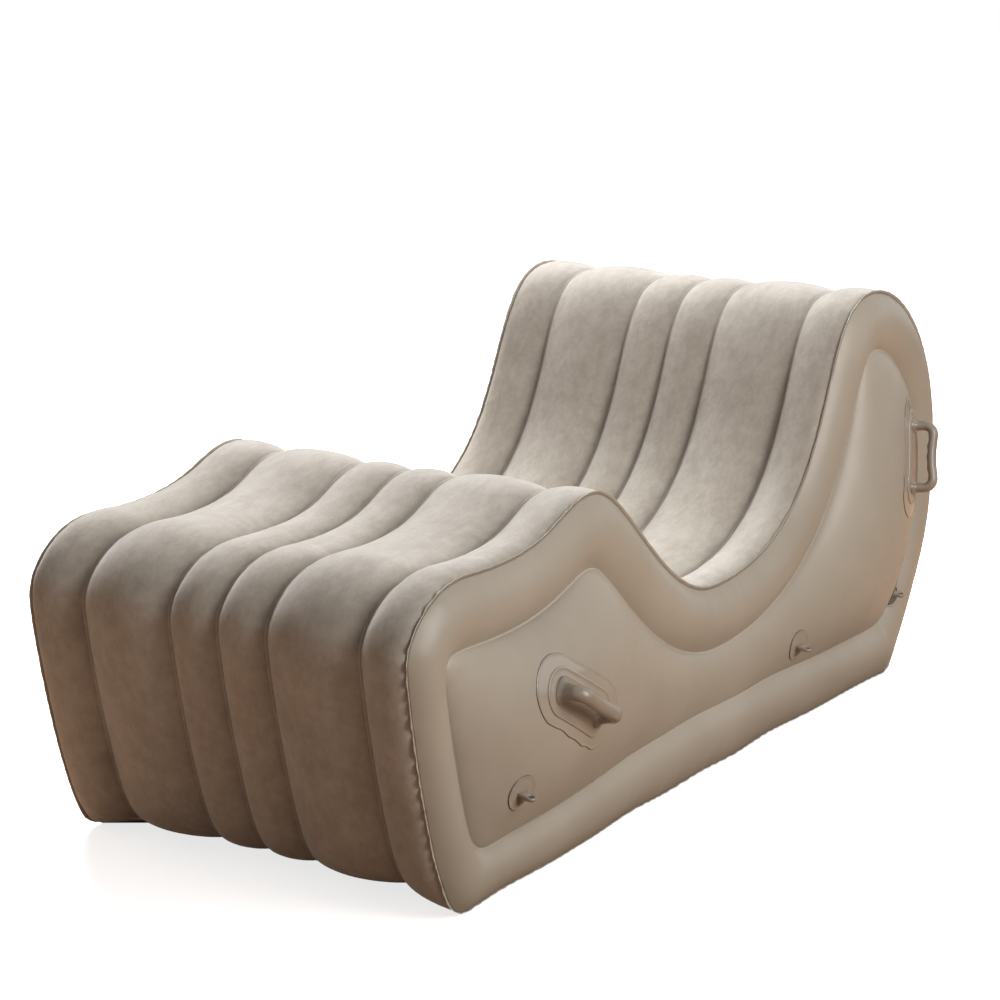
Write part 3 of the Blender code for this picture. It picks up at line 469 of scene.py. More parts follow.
def seamCurve():
    heights = (lounger["seamLevel"], lounger["noseShare"] * lounger["stepHeight"],
               lounger["stepHeight"], lounger["crestHeight"], lounger["seatHeight"],
               lounger["backHeight"], lounger["tailShare"] * lounger["backHeight"],
               lounger["seamLevel"])
    places = [np.array((share * lounger["length"] - lounger["length"] / 2, height))
              for share, height in zip(lounger["reachShares"], heights)]
    fine = []
    steps = lounger["curveSteps"]
    for k in range(len(places) - 1):
        start, end = places[k], places[k + 1]
        span = np.linalg.norm(end - start)
        turnA, turnB = (math.radians(lounger["headings"][k + j]) for j in (0, 1))
        widthA, widthB = lounger["tubeWidths"][k:k + 2]
        leadA, leadB = (share * span for share in lounger["leadShares"][k])
        near = start + leadA * np.array((math.cos(turnA), math.sin(turnA)))
        far = end - leadB * np.array((math.cos(turnB), math.sin(turnB)))
        for j in range(steps):
            t = j / steps
            s = 1 - t
            spot = s ** 3 * start + 3 * s * s * t * near + 3 * s * t * t * far + t ** 3 * end
            fine.append((*spot, widthA * s + widthB * t))
    fine.append((*places[-1], lounger["tubeWidths"][-2]))
    return evenRun(np.array(fine), lounger["stationGap"])


def evenRun(points, gap):
    # The same line with stations at even distances, and any value that goes with them
    gaps = np.linalg.norm(np.diff(points[:, :2], axis=0), axis=1)
    reached = np.concatenate(([0.0], np.cumsum(gaps)))
    count = int(reached[-1] / gap) + 1
    wanted = np.linspace(0.0, reached[-1], count)
    columns = range(points.shape[1])
    return np.stack([np.interp(wanted, reached, points[:, j]) for j in columns], axis=1)


def outwardNormals(points, closed):
    if closed:
        along = np.roll(points, -1, axis=0) - np.roll(points, 1, axis=0)
    else:
        along = np.gradient(points, axis=0)
    normals = np.stack((-along[:, 1], along[:, 0]), axis=1)
    return normals / np.linalg.norm(normals, axis=1, keepdims=True)


def softened(loop, rounds):
    for _ in range(rounds):
        loop = loop * 0.5 + (np.roll(loop, 1, axis=0) + np.roll(loop, -1, axis=0)) * 0.25
    return loop


def rounded(loop, reach):
    # The loop with its corners rounded by distance, point for point
    gap = lounger["roundingGap"]
    closed = np.concatenate((loop, loop[:1]))
    run = np.concatenate(([0.0], np.cumsum(np.linalg.norm(np.diff(closed, axis=0), axis=1))))
    count = int(run[-1] / gap)
    places = np.linspace(0.0, run[-1], count + 1)
    even = np.stack([np.interp(places[:-1], run, closed[:, j]) for j in (0, 1)], axis=1)
    even = softened(even, int(2 * (reach / gap) ** 2))
    even = np.concatenate((even, even[:1]))
    return np.stack([np.interp(run[:-1], places, even[:, j]) for j in (0, 1)], axis=1)


def wave(place, pitch, seed):
    # Smooth uneven wave from -1 to 1 along a line
    return max(-1.0, min(1.0, 1.6 * noise.noise(Vector((place / pitch, seed * 7.31, 0.37)))))


topAll = seamCurve()
topRun, topWidths = topAll[:, :2], topAll[:, 2]
endEdges = (topRun[1] - topRun[0], topRun[-1] - topRun[-2])
topReach = np.concatenate(([0.0], np.cumsum(np.linalg.norm(np.diff(topRun, axis=0), axis=1))))
floorSteps = int((topRun[-1][0] - topRun[0][0]) / lounger["stationGap"])
floorShares = np.linspace(0.0, 1.0, floorSteps + 1)[1:-1]
floorRun = topRun[-1] + (topRun[0] - topRun[-1]) * floorShares[:, None]
floorRun[:, 1] += lounger["floorLift"] * np.sin(floorShares * math.pi) ** 0.7 * np.array(
    [0.8 + 0.4 * wave(share, 0.11, 1) for share in floorShares])
floorWidths = np.interp(floorShares, (0.0, lounger["floorMiddle"], 1.0),
                        (topWidths[-1], lounger["tubeWidths"][-1], topWidths[0]))
seamLoop = rounded(np.concatenate((topRun, floorRun)), lounger["cornerRounding"])
topRun, floorRun = seamLoop[:len(topRun)], seamLoop[len(topRun):]
topNormals = outwardNormals(topRun, closed=False)
seamReach = np.concatenate((topReach, topReach[-1] + np.arange(1, floorSteps)
                            * lounger["stationGap"]))
loopNormals = outwardNormals(seamLoop, closed=True)
ringWidths = np.concatenate((topWidths, floorWidths))


# Flocked top: six air lanes side by side

lanes = {
    "shares": (0.13, 0.24, 0.13, 0.13, 0.24, 0.13),
    "edgeRise": 0.021,
    "wideRise": 0.030,
    "narrowRise": 0.020,
    "weldDrop": 0.015,
    "fullness": 0.78,        # below 1 the lanes stand up more steeply from their welds
    "weldHalf": 0.0034,      # half the width of a welded line
    "weldBead": 0.0008,      # height of the two beads that edge a weld
    "swell": 0.0016,         # unevenness of the blown-up sheet
    "pucker": 0.0010,        # small creases across the welds
    "puckerPitch": 0.011,
    "puckerReach": 0.016,
    "pinchLength": 0.110,    # how far from the floor a lane reaches its full height
    "tuckDepth": 0.026,
    "crestEase": 0.56,       # share of their height that lanes lose over a tight crest
    "crestRadius": 0.30,     # radius of the outline at which they lose all of it
    "crestWindow": 0.14,
    "noseEnd": (0.62, 0.80),     # the nose keeps its full lanes up to here
    "closeLevel": 0.0006,    # height at which their ends meet the bottom sheet
    "sheet": 0.0009,
    "fill": 1.0,
    "edgeSteps": 16,
    "wideSteps": 24,
    "narrowSteps": 16,
}


def laneEdges():
    edges = [-halfWidth]
    for share in lanes["shares"]:
        edges.append(edges[-1] + share * lounger["width"])
    return edges


def crestShares():
    # 1 where the outline bends tightly over a crest, else down to 0
    window = round(lanes["crestWindow"] / lounger["stationGap"])
    last = len(topRun) - 1
    shares = np.zeros(last + 1)
    for i in range(1, last):
        before = topRun[i] - topRun[max(i - window, 0)]
        after = topRun[min(i + window, last)] - topRun[i]
        turn = math.atan2(before[1] * after[0] - before[0] * after[1], before @ after)
        bend = 2 * turn / (np.linalg.norm(before) + np.linalg.norm(after))
        shares[i] = min(1.0, max(0.0, bend * lanes["crestRadius"]))
    hat = np.concatenate((np.arange(1, window), np.arange(window, 0, -1))).astype(float)
    pastNose = np.interp(topReach, lanes["noseEnd"], (0.0, 1.0))
    return np.convolve(shares, hat / hat.sum(), mode="same") * pastNose


edgesAcross = laneEdges()
pinch = np.sin(np.minimum(1.0, np.minimum(topReach, topReach[-1] - topReach)
                          / lanes["pinchLength"]) * math.pi / 2)
laneTuck = lanes["tuckDepth"] * (1 - pinch)
laneFull = pinch * (1 - lanes["crestEase"] * crestShares())


def arcShare(t, rise, width):
    # Height above the chord of a circular arc, t running from 0 to 1
    half = width / 2
    radius = (half * half + rise * rise) / (2 * rise)
    x = (2 * t - 1) * half
    return math.sqrt(max(0.0, radius * radius - x * x)) - (radius - rise)


def laneArc(t, rise, width):
    return rise * (arcShare(t, rise, width) / rise) ** lanes["fullness"]


def lanePlace(i, across, rise):
    spot = topRun[i] + topNormals[i] * rise
    height = max(spot[1], 0.0)
    return Vector((across, spot[0], height))


def closedDown(rows):
    # Carries both ends of a lane on to the bottom sheet, in their own direction
    result = list(rows)
    for place, edge in zip((0, -1), endEdges):
        lowered = []
        for spot in rows[place]:
            reach = (lanes["closeLevel"] - spot.z) / edge[1]
            lowered.append(Vector((spot.x, spot.y + edge[0] * reach, lanes["closeLevel"])))
        result = [lowered] + result if place == 0 else result + [lowered]
    return result


def unevenness(i, across, toWeld, seed):
    # What air pressure leaves: a slow swell, and creases that die out from the weld
    place = topReach[i]
    swell = noise.noise(Vector((across * 9.0, place * 5.0, seed)))
    swell += 0.5 * noise.noise(Vector((across * 22.0, place * 13.0, seed + 4.0)))
    crease = wave(place, lanes["puckerPitch"], seed + round(across * 4))
    fade = math.exp(-toWeld / lanes["puckerReach"]) * min(1.0, toWeld / 0.004)
    return lanes["swell"] * swell * min(1.0, toWeld / 0.03) + lanes["pucker"] * crease * fade


def weldShares(width):
    # Columns of one welded edge: flat weld, bead, foot of the lane
    half = lanes["weldHalf"]
    return [0.0, 0.45 * half / width, 0.75 * half / width, half / width]


beadShares = (0.0, 0.0, 1.0, 0.0)
# How a weld is coloured: -1 painted shade in its groove, 1 light on its beads, partly crushed nap
# and partly painted highlight
weldMarks = (-1.0, -0.5, 1.0, 0.0)


def finishLane(name, rows, marks):
    bm, verts = gridMesh(closedDown(rows))
    weld = bm.verts.layers.float["weld"]
    for row in verts:
        for vert, mark in zip(row, marks):
            vert[weld] = mark
    turnFaces(bm)
    obj = newPiece(name.replace("top_", "flocked_"), bm, "flocked_top")
    thicken(obj, lanes["sheet"])
    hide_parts(name)


def innerLane(name, number, size):
    rise, steps = lanes[size + "Rise"], lanes[size + "Steps"]
    left, right = edgesAcross[number], edgesAcross[number + 1]
    width = right - left
    edge = weldShares(width)
    foot = edge[-1]
    middle = [foot + (1 - 2 * foot) * (0.5 - 0.5 * math.cos(math.pi * k / steps))
              for k in range(1, steps)]
    shares = edge + middle + [1 - share for share in edge[::-1]]
    beads = list(beadShares) + [0.0] * len(middle) + list(beadShares[::-1])
    marks = list(weldMarks) + [0.0] * len(middle) + list(weldMarks[::-1])
    rows = []
    for i in range(len(topRun)):
        full = laneFull[i]
        low = -lanes["weldDrop"] * full - laneTuck[i]
        row = []
        for share, bead in zip(shares, beads):
            inside = min(1.0, max(0.0, (share - foot) / (1 - 2 * foot)))
            across = left + share * width
            lift = laneArc(inside, rise, width) * full + lanes["weldBead"] * bead
            if 0 < inside < 1:
                lift += unevenness(i, across, min(inside, 1 - inside) * width, number) * full
            row.append(lanePlace(i, across, low + lift))
        rows.append(row)
    finishLane(name, rows, marks)


def edgeLane(name, side):
    # From the outermost weld over the edge tube to the seam with the side panel
    steps = lanes["edgeSteps"]
    inner = edgesAcross[-2]
    width = halfWidth - inner
    edge = weldShares(width)
    foot = edge[-1]
    shares = edge + [foot + (1 - foot) * (1 - math.cos(math.pi * k / steps)) / 2
                     for k in range(1, steps + 1)]
    beads = list(beadShares) + [0.0] * steps
    marks = list(weldMarks) + [0.0] * steps
    rows = []
    for i in range(len(topRun)):
        full = laneFull[i]
        low = -lanes["weldDrop"] * full - laneTuck[i]
        row = []
        for share, bead in zip(shares, beads):
            inside = max(0.0, (share - foot) / (1 - foot))
            across = side * (inner + share * width)
            lift = low * (1 - inside) + laneArc(inside, lanes["edgeRise"], width) * full
            lift += lanes["weldBead"] * bead
            if 0 < inside < 1:
                lift += unevenness(i, across, min(inside, 1 - inside) * width, side) * full
            row.append(lanePlace(i, across, lift))
        rows.append(row)
    finishLane(name, rows, marks)


for word, side in (("right", 1), ("left", -1)):
    edgeLane("top_edge_lane_" + word, side)
for number, (size, word) in enumerate((("wide", "left"), ("narrow", "left"),
                                       ("narrow", "right"), ("wide", "right")), 1):
    innerLane("top_" + size + "_lane_" + word, number, size)
print("flocked lanes made")


# Side panels: an edge tube round the seam, a welded ring and a domed middle

panels = {
    "tubeInset": 0.098,
    "tubeBulge": 0.021,
    "tubeSteps": 12,
    "weldLevel": 0.004,
    "domeRise": 0.064,
    "domePower": 0.7,        # below 1 the dome stands up more steeply from its weld
    "ringRounding": 0.030,
    "domeRounding": 0.010,
    "pucker": 0.0010,        # creases that run in from the seam
    "puckerPitch": 0.013,
    "swell": 0.0012,
    "holeRadius": 0.0215,    # cut for the valve in the left sheet
    "domeBand": 0.016,       # band of even rings just inside the weld
    "bandShares": (0.10, 0.26, 0.46, 0.70, 1.0),
    "domeLines": (0.007, 0.016, 0.028),
    "domeLineGap": 0.012,
    "domeGrid": 0.018,
    "holeSides": 40,
    "sheet": 0.0010,
    "fill": 1.0,
    "crossShare": 0.985,     # of the inset, below which a moved point counts as crossed over
    "gridEdgeShare": 0.6,    # of the grid's step, how near it may come to its edge
    "weightLimit": 12.0,     # for the solver, on thin triangles
    "solverRounds": 600,
    "solverEnd": 1e-14,
}


def distancesTo(points, loop):
    # Distance of each point to the closed loop
    starts = np.roll(loop, 1, axis=0)
    edges = loop - starts
    lengths = np.maximum((edges ** 2).sum(axis=1), 1e-12)
    result = []
    for point in points:
        share = np.clip(((point - starts) * edges).sum(axis=1) / lengths, 0.0, 1.0)
        away = starts + edges * share[:, None] - point
        result.append(np.sqrt((away ** 2).sum(axis=1).min()))
    return np.array(result)


def insetLoop(loop, insets):
    # The loop moved inwards, with straight runs where its corners would cross over
    moved = loop - outwardNormals(loop, closed=True) * insets[:, None]
    sound = np.flatnonzero(distancesTo(moved, loop) >= insets * panels["crossShare"])
    count = len(moved)
    for place, first in enumerate(sound):
        last = sound[(place + 1) % len(sound)]
        span = (last - first) % count
        for k in range(1, span):
            moved[(first + k) % count] = moved[first] + (moved[last] - moved[first]) * k / span
    return moved


def insideLoop(point, loop):
    following = np.roll(loop, 1, axis=0)
    above = (loop[:, 1] > point[1]) != (following[:, 1] > point[1])
    rise = np.where(above, following[:, 1] - loop[:, 1], 1.0)
    crossing = (following[:, 0] - loop[:, 0]) * (point[1] - loop[:, 1]) / rise + loop[:, 0]
    return bool(np.count_nonzero(above & (point[0] < crossing)) % 2)


def gridInside(loop, step):
    rowGap = step * math.sqrt(3) / 2
    low, high = loop.min(axis=0), loop.max(axis=0)
    spots = []
    for r in range(int((high[1] - low[1]) / rowGap) + 1):
        for c in range(int((high[0] - low[0]) / step) + 1):
            spot = np.array((low[0] + (c + (r % 2) / 2) * step, low[1] + r * rowGap))
            if insideLoop(spot, loop):
                spots.append(spot)
    spots = np.array(spots)
    return spots[distancesTo(spots, loop) > step * panels["gridEdgeShare"]]


def membraneRise(points, triangles, fixed):
    # A stretched sheet under even pressure, held along its weld; highest point is 1
    corners = np.array(triangles)
    count = len(points)
    load = np.zeros(count)
    ends, weights = [], []
    for j in range(3):
        a, b, c = (corners[:, (j + k) % 3] for k in range(3))
        u, v = points[b] - points[a], points[c] - points[a]
        area = np.maximum(np.abs(u[:, 0] * v[:, 1] - u[:, 1] * v[:, 0]), 1e-12)
        ends.append(np.stack((b, c), axis=1))
        weights.append(np.clip((u * v).sum(axis=1) / area / 2, 0.0, panels["weightLimit"]))
        load += np.bincount(a, weights=area / 6, minlength=count)
    ends, weights = np.concatenate(ends), np.concatenate(weights)
    free = np.ones(count, dtype=bool)
    free[fixed] = False
    usable = np.bincount(ends.ravel(), minlength=count) > 0
    free &= usable

    def pull(x):
        force = weights * (x[ends[:, 0]] - x[ends[:, 1]])
        total = np.bincount(ends[:, 0], weights=force, minlength=count)
        total -= np.bincount(ends[:, 1], weights=force, minlength=count)
        return np.where(free, total, 0.0)

    diagonal = np.bincount(ends.ravel(), weights=np.repeat(weights, 2), minlength=count)
    diagonal = np.where(diagonal > 0, diagonal, 1.0)
    rise = np.zeros(count)
    rest = np.where(free, load, 0.0)
    scaled = rest / diagonal
    step = scaled.copy()
    power = (rest * scaled).sum()
    for _ in range(panels["solverRounds"]):
        pulled = pull(step)
        size = power / (step * pulled).sum()
        rise += size * step
        rest -= size * pulled
        scaled = rest / diagonal
        following = (rest * scaled).sum()
        if following < panels["solverEnd"]:
            break
        step = scaled + step * following / power
        power = following
    return np.clip(rise / rise.max(), 0.0, 1.0)


def domeSpots(ring):
    # Places inside the weld: a few lines close along it, then an even grid
    inward = -outwardNormals(ring, closed=True)
    spots = []
    for inset in panels["domeLines"]:
        line = evenRun(np.concatenate((ring, ring[:1])) + inset
                       * np.concatenate((inward, inward[:1])), panels["domeLineGap"])[:-1]
        line = line[distancesTo(line, ring) > inset * 0.9]
        line = line[[insideLoop(spot, ring) for spot in line]]
        spots.append(line)
    grid = gridInside(ring, panels["domeGrid"])
    clear = panels["domeLines"][-1] + panels["domeGrid"] * 0.5
    spots.append(grid[distancesTo(grid, ring) > clear])
    spots = np.concatenate(spots)
    apart = np.linalg.norm(spots - valveSpot, axis=1)
    return spots[apart > panels["holeRadius"] + panels["domeGrid"] * 0.5]


def holeRing():
    turns = np.linspace(0.0, 2 * math.pi, panels["holeSides"], endpoint=False)
    circle = np.stack((np.cos(turns), np.sin(turns)), axis=1)
    return valveSpot + circle * panels["holeRadius"]


def sheetRipple(place, share):
    # Creases from the seam over the edge tube, and its slow swell
    crease = wave(place, panels["puckerPitch"], 11) + 0.5 * wave(place, 0.037, 12)
    near = math.exp(-share * 7.0) * min(1.0, share * 20.0)
    swell = noise.noise(Vector((place * 6.0, share * 2.0, 5.0)))
    return panels["pucker"] * crease * near + panels["swell"] * swell * math.sin(share * math.pi)


def panelSurface():
    # Flat places, levels above the seam plane, faces, and how welded each point is, which sets a
    # painted highlight along the weld ring
    count = len(seamLoop)
    rings, levels, welds = [], [], []
    steps = panels["tubeSteps"]
    for k in range(steps + 1):
        share = (1 - math.cos(math.pi * k / steps)) / 2
        rings.append(seamLoop + (weldRing - seamLoop) * share)
        level = panels["weldLevel"] * share
        level += arcShare(share, panels["tubeBulge"], panels["tubeInset"])
        levels += [level + sheetRipple(place, share) for place in seamReach]
        # The weld ring row is marked for a painted highlight along its crease
        welds += [1.0 if k == steps else 0.0] * count
    flat = np.concatenate(rings)
    faces = []
    for ring in range(steps):
        for k in range(count):
            nxt = (k + 1) % count
            a, b = ring * count + k, ring * count + nxt
            faces.append((a, b, b + count, a + count))
    weld = steps * count
    bandFaces = []
    for step, share in enumerate(panels["bandShares"]):
        flat = np.concatenate((flat, weldRing + (domeRing - weldRing) * share))
        for k in range(count):
            a, b = weld + step * count + k, weld + step * count + (k + 1) % count
            bandFaces.append((a, b, b + count, a + count))
    first = len(flat) - count
    hole = holeRing()
    spots = np.concatenate((hole, domeSpots(domeRing)))
    inner = [Vector(p) for p in domeRing] + [Vector(p) for p in spots]
    rim = [(k, (k + 1) % count) for k in range(count)]
    rim += [(count + k, count + (k + 1) % len(hole)) for k in range(len(hole))]
    placed, _, triangles, origins, _, _ = delaunay_2d_cdt(inner, rim, [], 1, 1e-7)
    flat = np.concatenate((flat, spots))
    index = []
    for spot, source in zip(placed, origins):
        if not source:
            flat = np.concatenate((flat, [tuple(spot)]))
        index.append(first + source[0] if source else len(flat) - 1)
    domeFaces = [tuple(index[k] for k in triangle) for triangle in triangles]
    halves = [half for a, b, c, d in bandFaces for half in ((a, b, c), (a, c, d))]
    fixed = np.arange(weld, weld + count)
    rise = membraneRise(flat, domeFaces + halves, fixed) ** panels["domePower"]
    domeFaces += bandFaces
    levels += [0.0] * (len(flat) - len(levels))
    levels = np.array(levels)
    levels[weld:] = panels["weldLevel"] + panels["domeRise"] * rise[weld:]
    welds += [0.0] * (len(flat) - len(welds))
    return flat, levels, faces + domeFaces, welds


valveLow, valveHigh = (Vector(corner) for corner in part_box("valve_base"))
valveSpot = np.array(((valveLow.y + valveHigh.y) / 2, (valveLow.z + valveHigh.z) / 2))
weldRing = rounded(insetLoop(seamLoop, ringWidths * panels["tubeInset"]),
                   panels["ringRounding"])
domeRing = rounded(insetLoop(weldRing, np.full(len(weldRing), panels["domeBand"])),
                   panels["domeRounding"])
flatPlaces, panelLevels, panelFaces, weldRingHighlight = panelSurface()
print("panel surface of", len(flatPlaces), "points")


def panelPoints(side):
    return [Vector((side * (halfWidth + level), spot[0], max(spot[1], 0.0)))
            for spot, level in zip(flatPlaces, panelLevels)]


def sidePanel(word, side):
    bm, weld = weldMesh()
    verts = [bm.verts.new(p) for p in panelPoints(side)]
    for face in panelFaces:
        middle = flatPlaces[list(face)].mean(axis=0)
        if side > 0 or np.linalg.norm(middle - valveSpot) > panels["holeRadius"]:
            bm.faces.new([verts[k] for k in face])
    bmesh.ops.delete(bm, geom=[v for v in bm.verts if not v.link_faces], context="VERTS")
    verts = [vert if vert.is_valid else None for vert in verts]
    # Half the weld mark lightens the weld ring's crease with a painted highlight
    for vert, share in zip(verts, weldRingHighlight):
        if vert:
            vert[weld] = share * 0.5
    turnFaces(bm, (side, 0.0, 0.0))
    obj = newPiece("side_sheet_" + word, bm, "side_sheet")
    thicken(obj, panels["sheet"])
    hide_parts("side_panel_" + word)


for word, side in (("right", 1), ("left", -1)):
    sidePanel(word, side)
print("side panels made")


# Seam flange: the welded edges of both sheets, standing out round each side

flange = {
    "reach": 0.0066,
    "sheet": 0.0014,
    "outward": 0.85,         # share of its lean away from the outline
    "sideways": 0.55,
    "scallop": 0.50,         # depth of the scallops as a share of the reach
    "scallopPitch": 0.025,
    # These shares also set the painted highlight on the flange's lip
    "scallopEnd": (0.50, 0.75),    # where they fade out, from the front floor corner
    "floorShare": 0.45,      # how strong they are along the floor
    "faintShare": 0.12,      # and everywhere else
    "ruffle": 0.0010,
    "inset": 0.0012,         # how far its root lies inside the side of the top
    "nearFloor": 0.02,       # height below which it doesn't lean down
}


def scallopAt(place, strength):
    phase = place / flange["scallopPitch"] + 0.9 * wave(place, 0.09, 3)
    depth = strength * flange["scallop"] * (0.7 + 0.6 * wave(place, 0.06, 4))
    return 1.0 + depth * (2.0 * abs(math.sin(math.pi * phase)) - 1.2)


def scallopAndHighlightShare(place, side):
    # Full up the front of the right side, and only faint elsewhere; the same share paints a
    # highlight on the flange's lip, where it is lit
    start, end = flange["scallopEnd"]
    near = min(1.0, max(0.0, (end - place) / (end - start)))
    low = flange["floorShare"] if place > topReach[-1] else flange["faintShare"]
    return low + (1 - low) * near if side > 0 else low


def seamFlange(word, side):
    rows, shares = [], []
    for k, spot in enumerate(seamLoop):
        place = seamReach[k]
        normal = loopNormals[k]
        along = normal * flange["outward"]
        along[1] = max(along[1], 0.0) if spot[1] < flange["nearFloor"] else along[1]
        out = Vector((side * flange["sideways"], *along)).normalized()
        thick = Vector((-side * flange["outward"], *(normal * flange["sideways"]))).normalized()
        scallopAndHighlight = scallopAndHighlightShare(place, side)
        shares.append(scallopAndHighlight)
        reach = flange["reach"] * scallopAt(place, scallopAndHighlight)
        base = Vector((side * (halfWidth - flange["inset"]), spot[0], spot[1]))
        ruffle = flange["ruffle"] * wave(place, 0.012, 6)
        half = flange["sheet"] / 2
        row = []
        for share, level in ((0.0, -half), (0.5, -half), (0.9, -0.9 * half), (1.0, 0.0),
                             (0.9, 0.9 * half), (0.5, half), (0.0, half)):
            point = base + out * (reach * share) + thick * (level + ruffle * share * share)
            point.z = max(point.z, 0.0004 + 0.001 * (level > 0))
            row.append(point)
        rows.append(row)
    bm, verts = gridMesh(rows, closedAcross=True, closedAlong=True)
    weld = bm.verts.layers.float["weld"]
    # Painted highlight: the lip takes the panel's light edge colour by the scallop share
    for row, share in zip(verts, shares):
        for vert in row[2:5]:
            vert[weld] = share
    turnFaces(bm)
    newPiece("seam_flange_" + word, bm, "side_sheet")


for word, side in (("right", 1), ("left", -1)):
    seamFlange(word, side)
print("seam flanges made")


# Inner and bottom sheets

innerSheets = {
    "sheet": 0.0008,
    "below": 0.0014,         # how far they stay under the flocked sheet
    "holeRadius": 0.032,
    "holeShares": (0.16, 0.38, 0.62, 0.82),
    "floorGap": 0.0018,
    "holeSides": 28,
    "lineGap": 0.012,        # spacing of the points along a web's upper edge
    "floorLevel": 0.0009,
    "edgeShare": 0.12,       # of the width, over which the bottom rises to a side seam
    "edgePower": 1.6,
}


def underWelds():
    # Line just under the welds of the lanes
    drop = innerSheets["below"] + lanes["weldDrop"] * laneFull + laneTuck
    line = topRun - topNormals * drop[:, None]
    line[:, 1] = np.maximum(line[:, 1], innerSheets["floorGap"])
    return line


def heightAt(line, reach):
    best = 0.0
    for a, b in zip(line, line[1:]):
        if min(a[0], b[0]) <= reach <= max(a[0], b[0]) and a[0] != b[0]:
            best = max(best, a[1] + (b[1] - a[1]) * (reach - a[0]) / (b[0] - a[0]))
    return best


def web(name, across):
    line = underWelds()
    ends = [spot - edge * (spot[1] - innerSheets["floorGap"]) / edge[1]
            for spot, edge in zip((line[0], line[-1]), endEdges)]
    line = evenRun(np.concatenate((ends[:1], line, ends[1:])), innerSheets["lineGap"])
    sound = [line[0]]
    for spot in line[1:]:
        if np.linalg.norm(spot - sound[-1]) > innerSheets["lineGap"] / 2:
            sound.append(spot)
    outline = [Vector(spot) for spot in sound]
    edges = [(k, (k + 1) % len(outline)) for k in range(len(outline))]
    sides = innerSheets["holeSides"]
    turns = [2 * math.pi * k / sides for k in range(sides)]
    for share in innerSheets["holeShares"]:
        reach = (share - 0.5) * lounger["length"]
        middle = Vector((reach, heightAt(line, reach) / 2))
        start = len(outline)
        outline += [middle + innerSheets["holeRadius"] * Vector((math.cos(t), math.sin(t)))
                    for t in turns]
        edges += [(start + k, start + (k + 1) % len(turns)) for k in range(len(turns))]
    spots, _, faces, _, _, _ = delaunay_2d_cdt(outline, edges, [], 3, 1e-6)
    bm, _ = weldMesh()
    verts = [bm.verts.new((across, spot.x, spot.y)) for spot in spots]
    for face in faces:
        bm.faces.new([verts[k] for k in face])
    turnFaces(bm)
    obj = newPiece(name.replace("web_", "inner_web_"), bm, "inner_sheet", smooth=False)
    thicken(obj, innerSheets["sheet"])
    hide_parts(name)


def tubeWall(name, side):
    # Slanted wall from under the outermost weld to behind the ring on the side
    near = side * edgesAcross[-2]
    start = drawnIn(near, topRun[-1], endEdges[1])
    end = drawnIn(near, topRun[0], endEdges[0])
    floorLine = np.stack((start + (end - start) * floorShares,
                          np.full(len(floorShares), innerSheets["floorGap"])), axis=1)
    top = np.concatenate((underWelds(), floorLine))
    far = side * (halfWidth + panels["weldLevel"] - panels["sheet"] - 0.0006)
    rows = []
    for upper, lower in zip(top, weldRing):
        rows.append([Vector((near + (far - near) * t, *(upper + (lower - upper) * t)))
                     for t in (0.0, 0.25, 0.5, 0.75, 1.0)])
    bm, _ = gridMesh(rows, closedAlong=True)
    turnFaces(bm)
    obj = newPiece(name.replace("edge_tube_wall", "tube_wall"), bm, "inner_sheet")
    thicken(obj, innerSheets["sheet"])
    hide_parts(name)


def drawnIn(across, end, edge):
    # Where the floor end of the top lies at a place across the width
    share = min(1.0, max(0.0, (halfWidth - abs(across)) / (halfWidth - edgesAcross[-2])))
    normal = np.array((-edge[1], edge[0])) / np.linalg.norm(edge)
    spot = end - normal * (lanes["tuckDepth"] * share + innerSheets["below"])
    return spot[0] - edge[0] * spot[1] / edge[1]


def bottomSheet():
    # Lies on the floor, rises to the side seams and ends inside the top's sheets
    reaches = floorRun[::-1]
    front, rear = reaches[0][0], reaches[-1][0]
    near = innerSheets["edgeShare"]
    shares = np.concatenate(([0.0, 0.012, 0.03, 0.055, 0.085, near], np.linspace(0.17, 0.5, 8)))
    shares = np.concatenate((shares, 1 - shares[::-1][1:]))
    rows = []
    for spot in reaches:
        row = []
        for share in shares:
            edge = min(share, 1 - share) / near
            rise = spot[1] * max(0.0, 1 - edge) ** innerSheets["edgePower"]
            across = (share * 2 - 1) * (halfWidth - 0.0006)
            start = drawnIn(across, topRun[0], endEdges[0])
            end = drawnIn(across, topRun[-1], endEdges[1])
            along = start + (end - start) * (spot[0] - front) / (rear - front)
            row.append(Vector((across, along, innerSheets["floorLevel"] + rise)))
        rows.append(row)
    bm, _ = gridMesh(rows)
    turnFaces(bm, (0.0, 0.0, -1.0))
    obj = newPiece("floor_sheet", bm, "inner_sheet")
    thicken(obj, innerSheets["sheet"])
    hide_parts("bottom_sheet")


bottomSheet()
for word, number in (("left", 2), ("middle", 3), ("right", 4)):
    web("web_" + word, edgesAcross[number])
for word, side in (("right", 1), ("left", -1)):
    tubeWall("edge_tube_wall_" + word, side)
print("inner sheets made")


# Fittings on the side sheets

finders = {side: BVHTree.FromPolygons(panelPoints(side), panelFaces) for side in (1, -1)}


def castOnto(side, start, toward):
    place, normal, _, _ = finders[side].ray_cast(start, toward)
    return place, normal


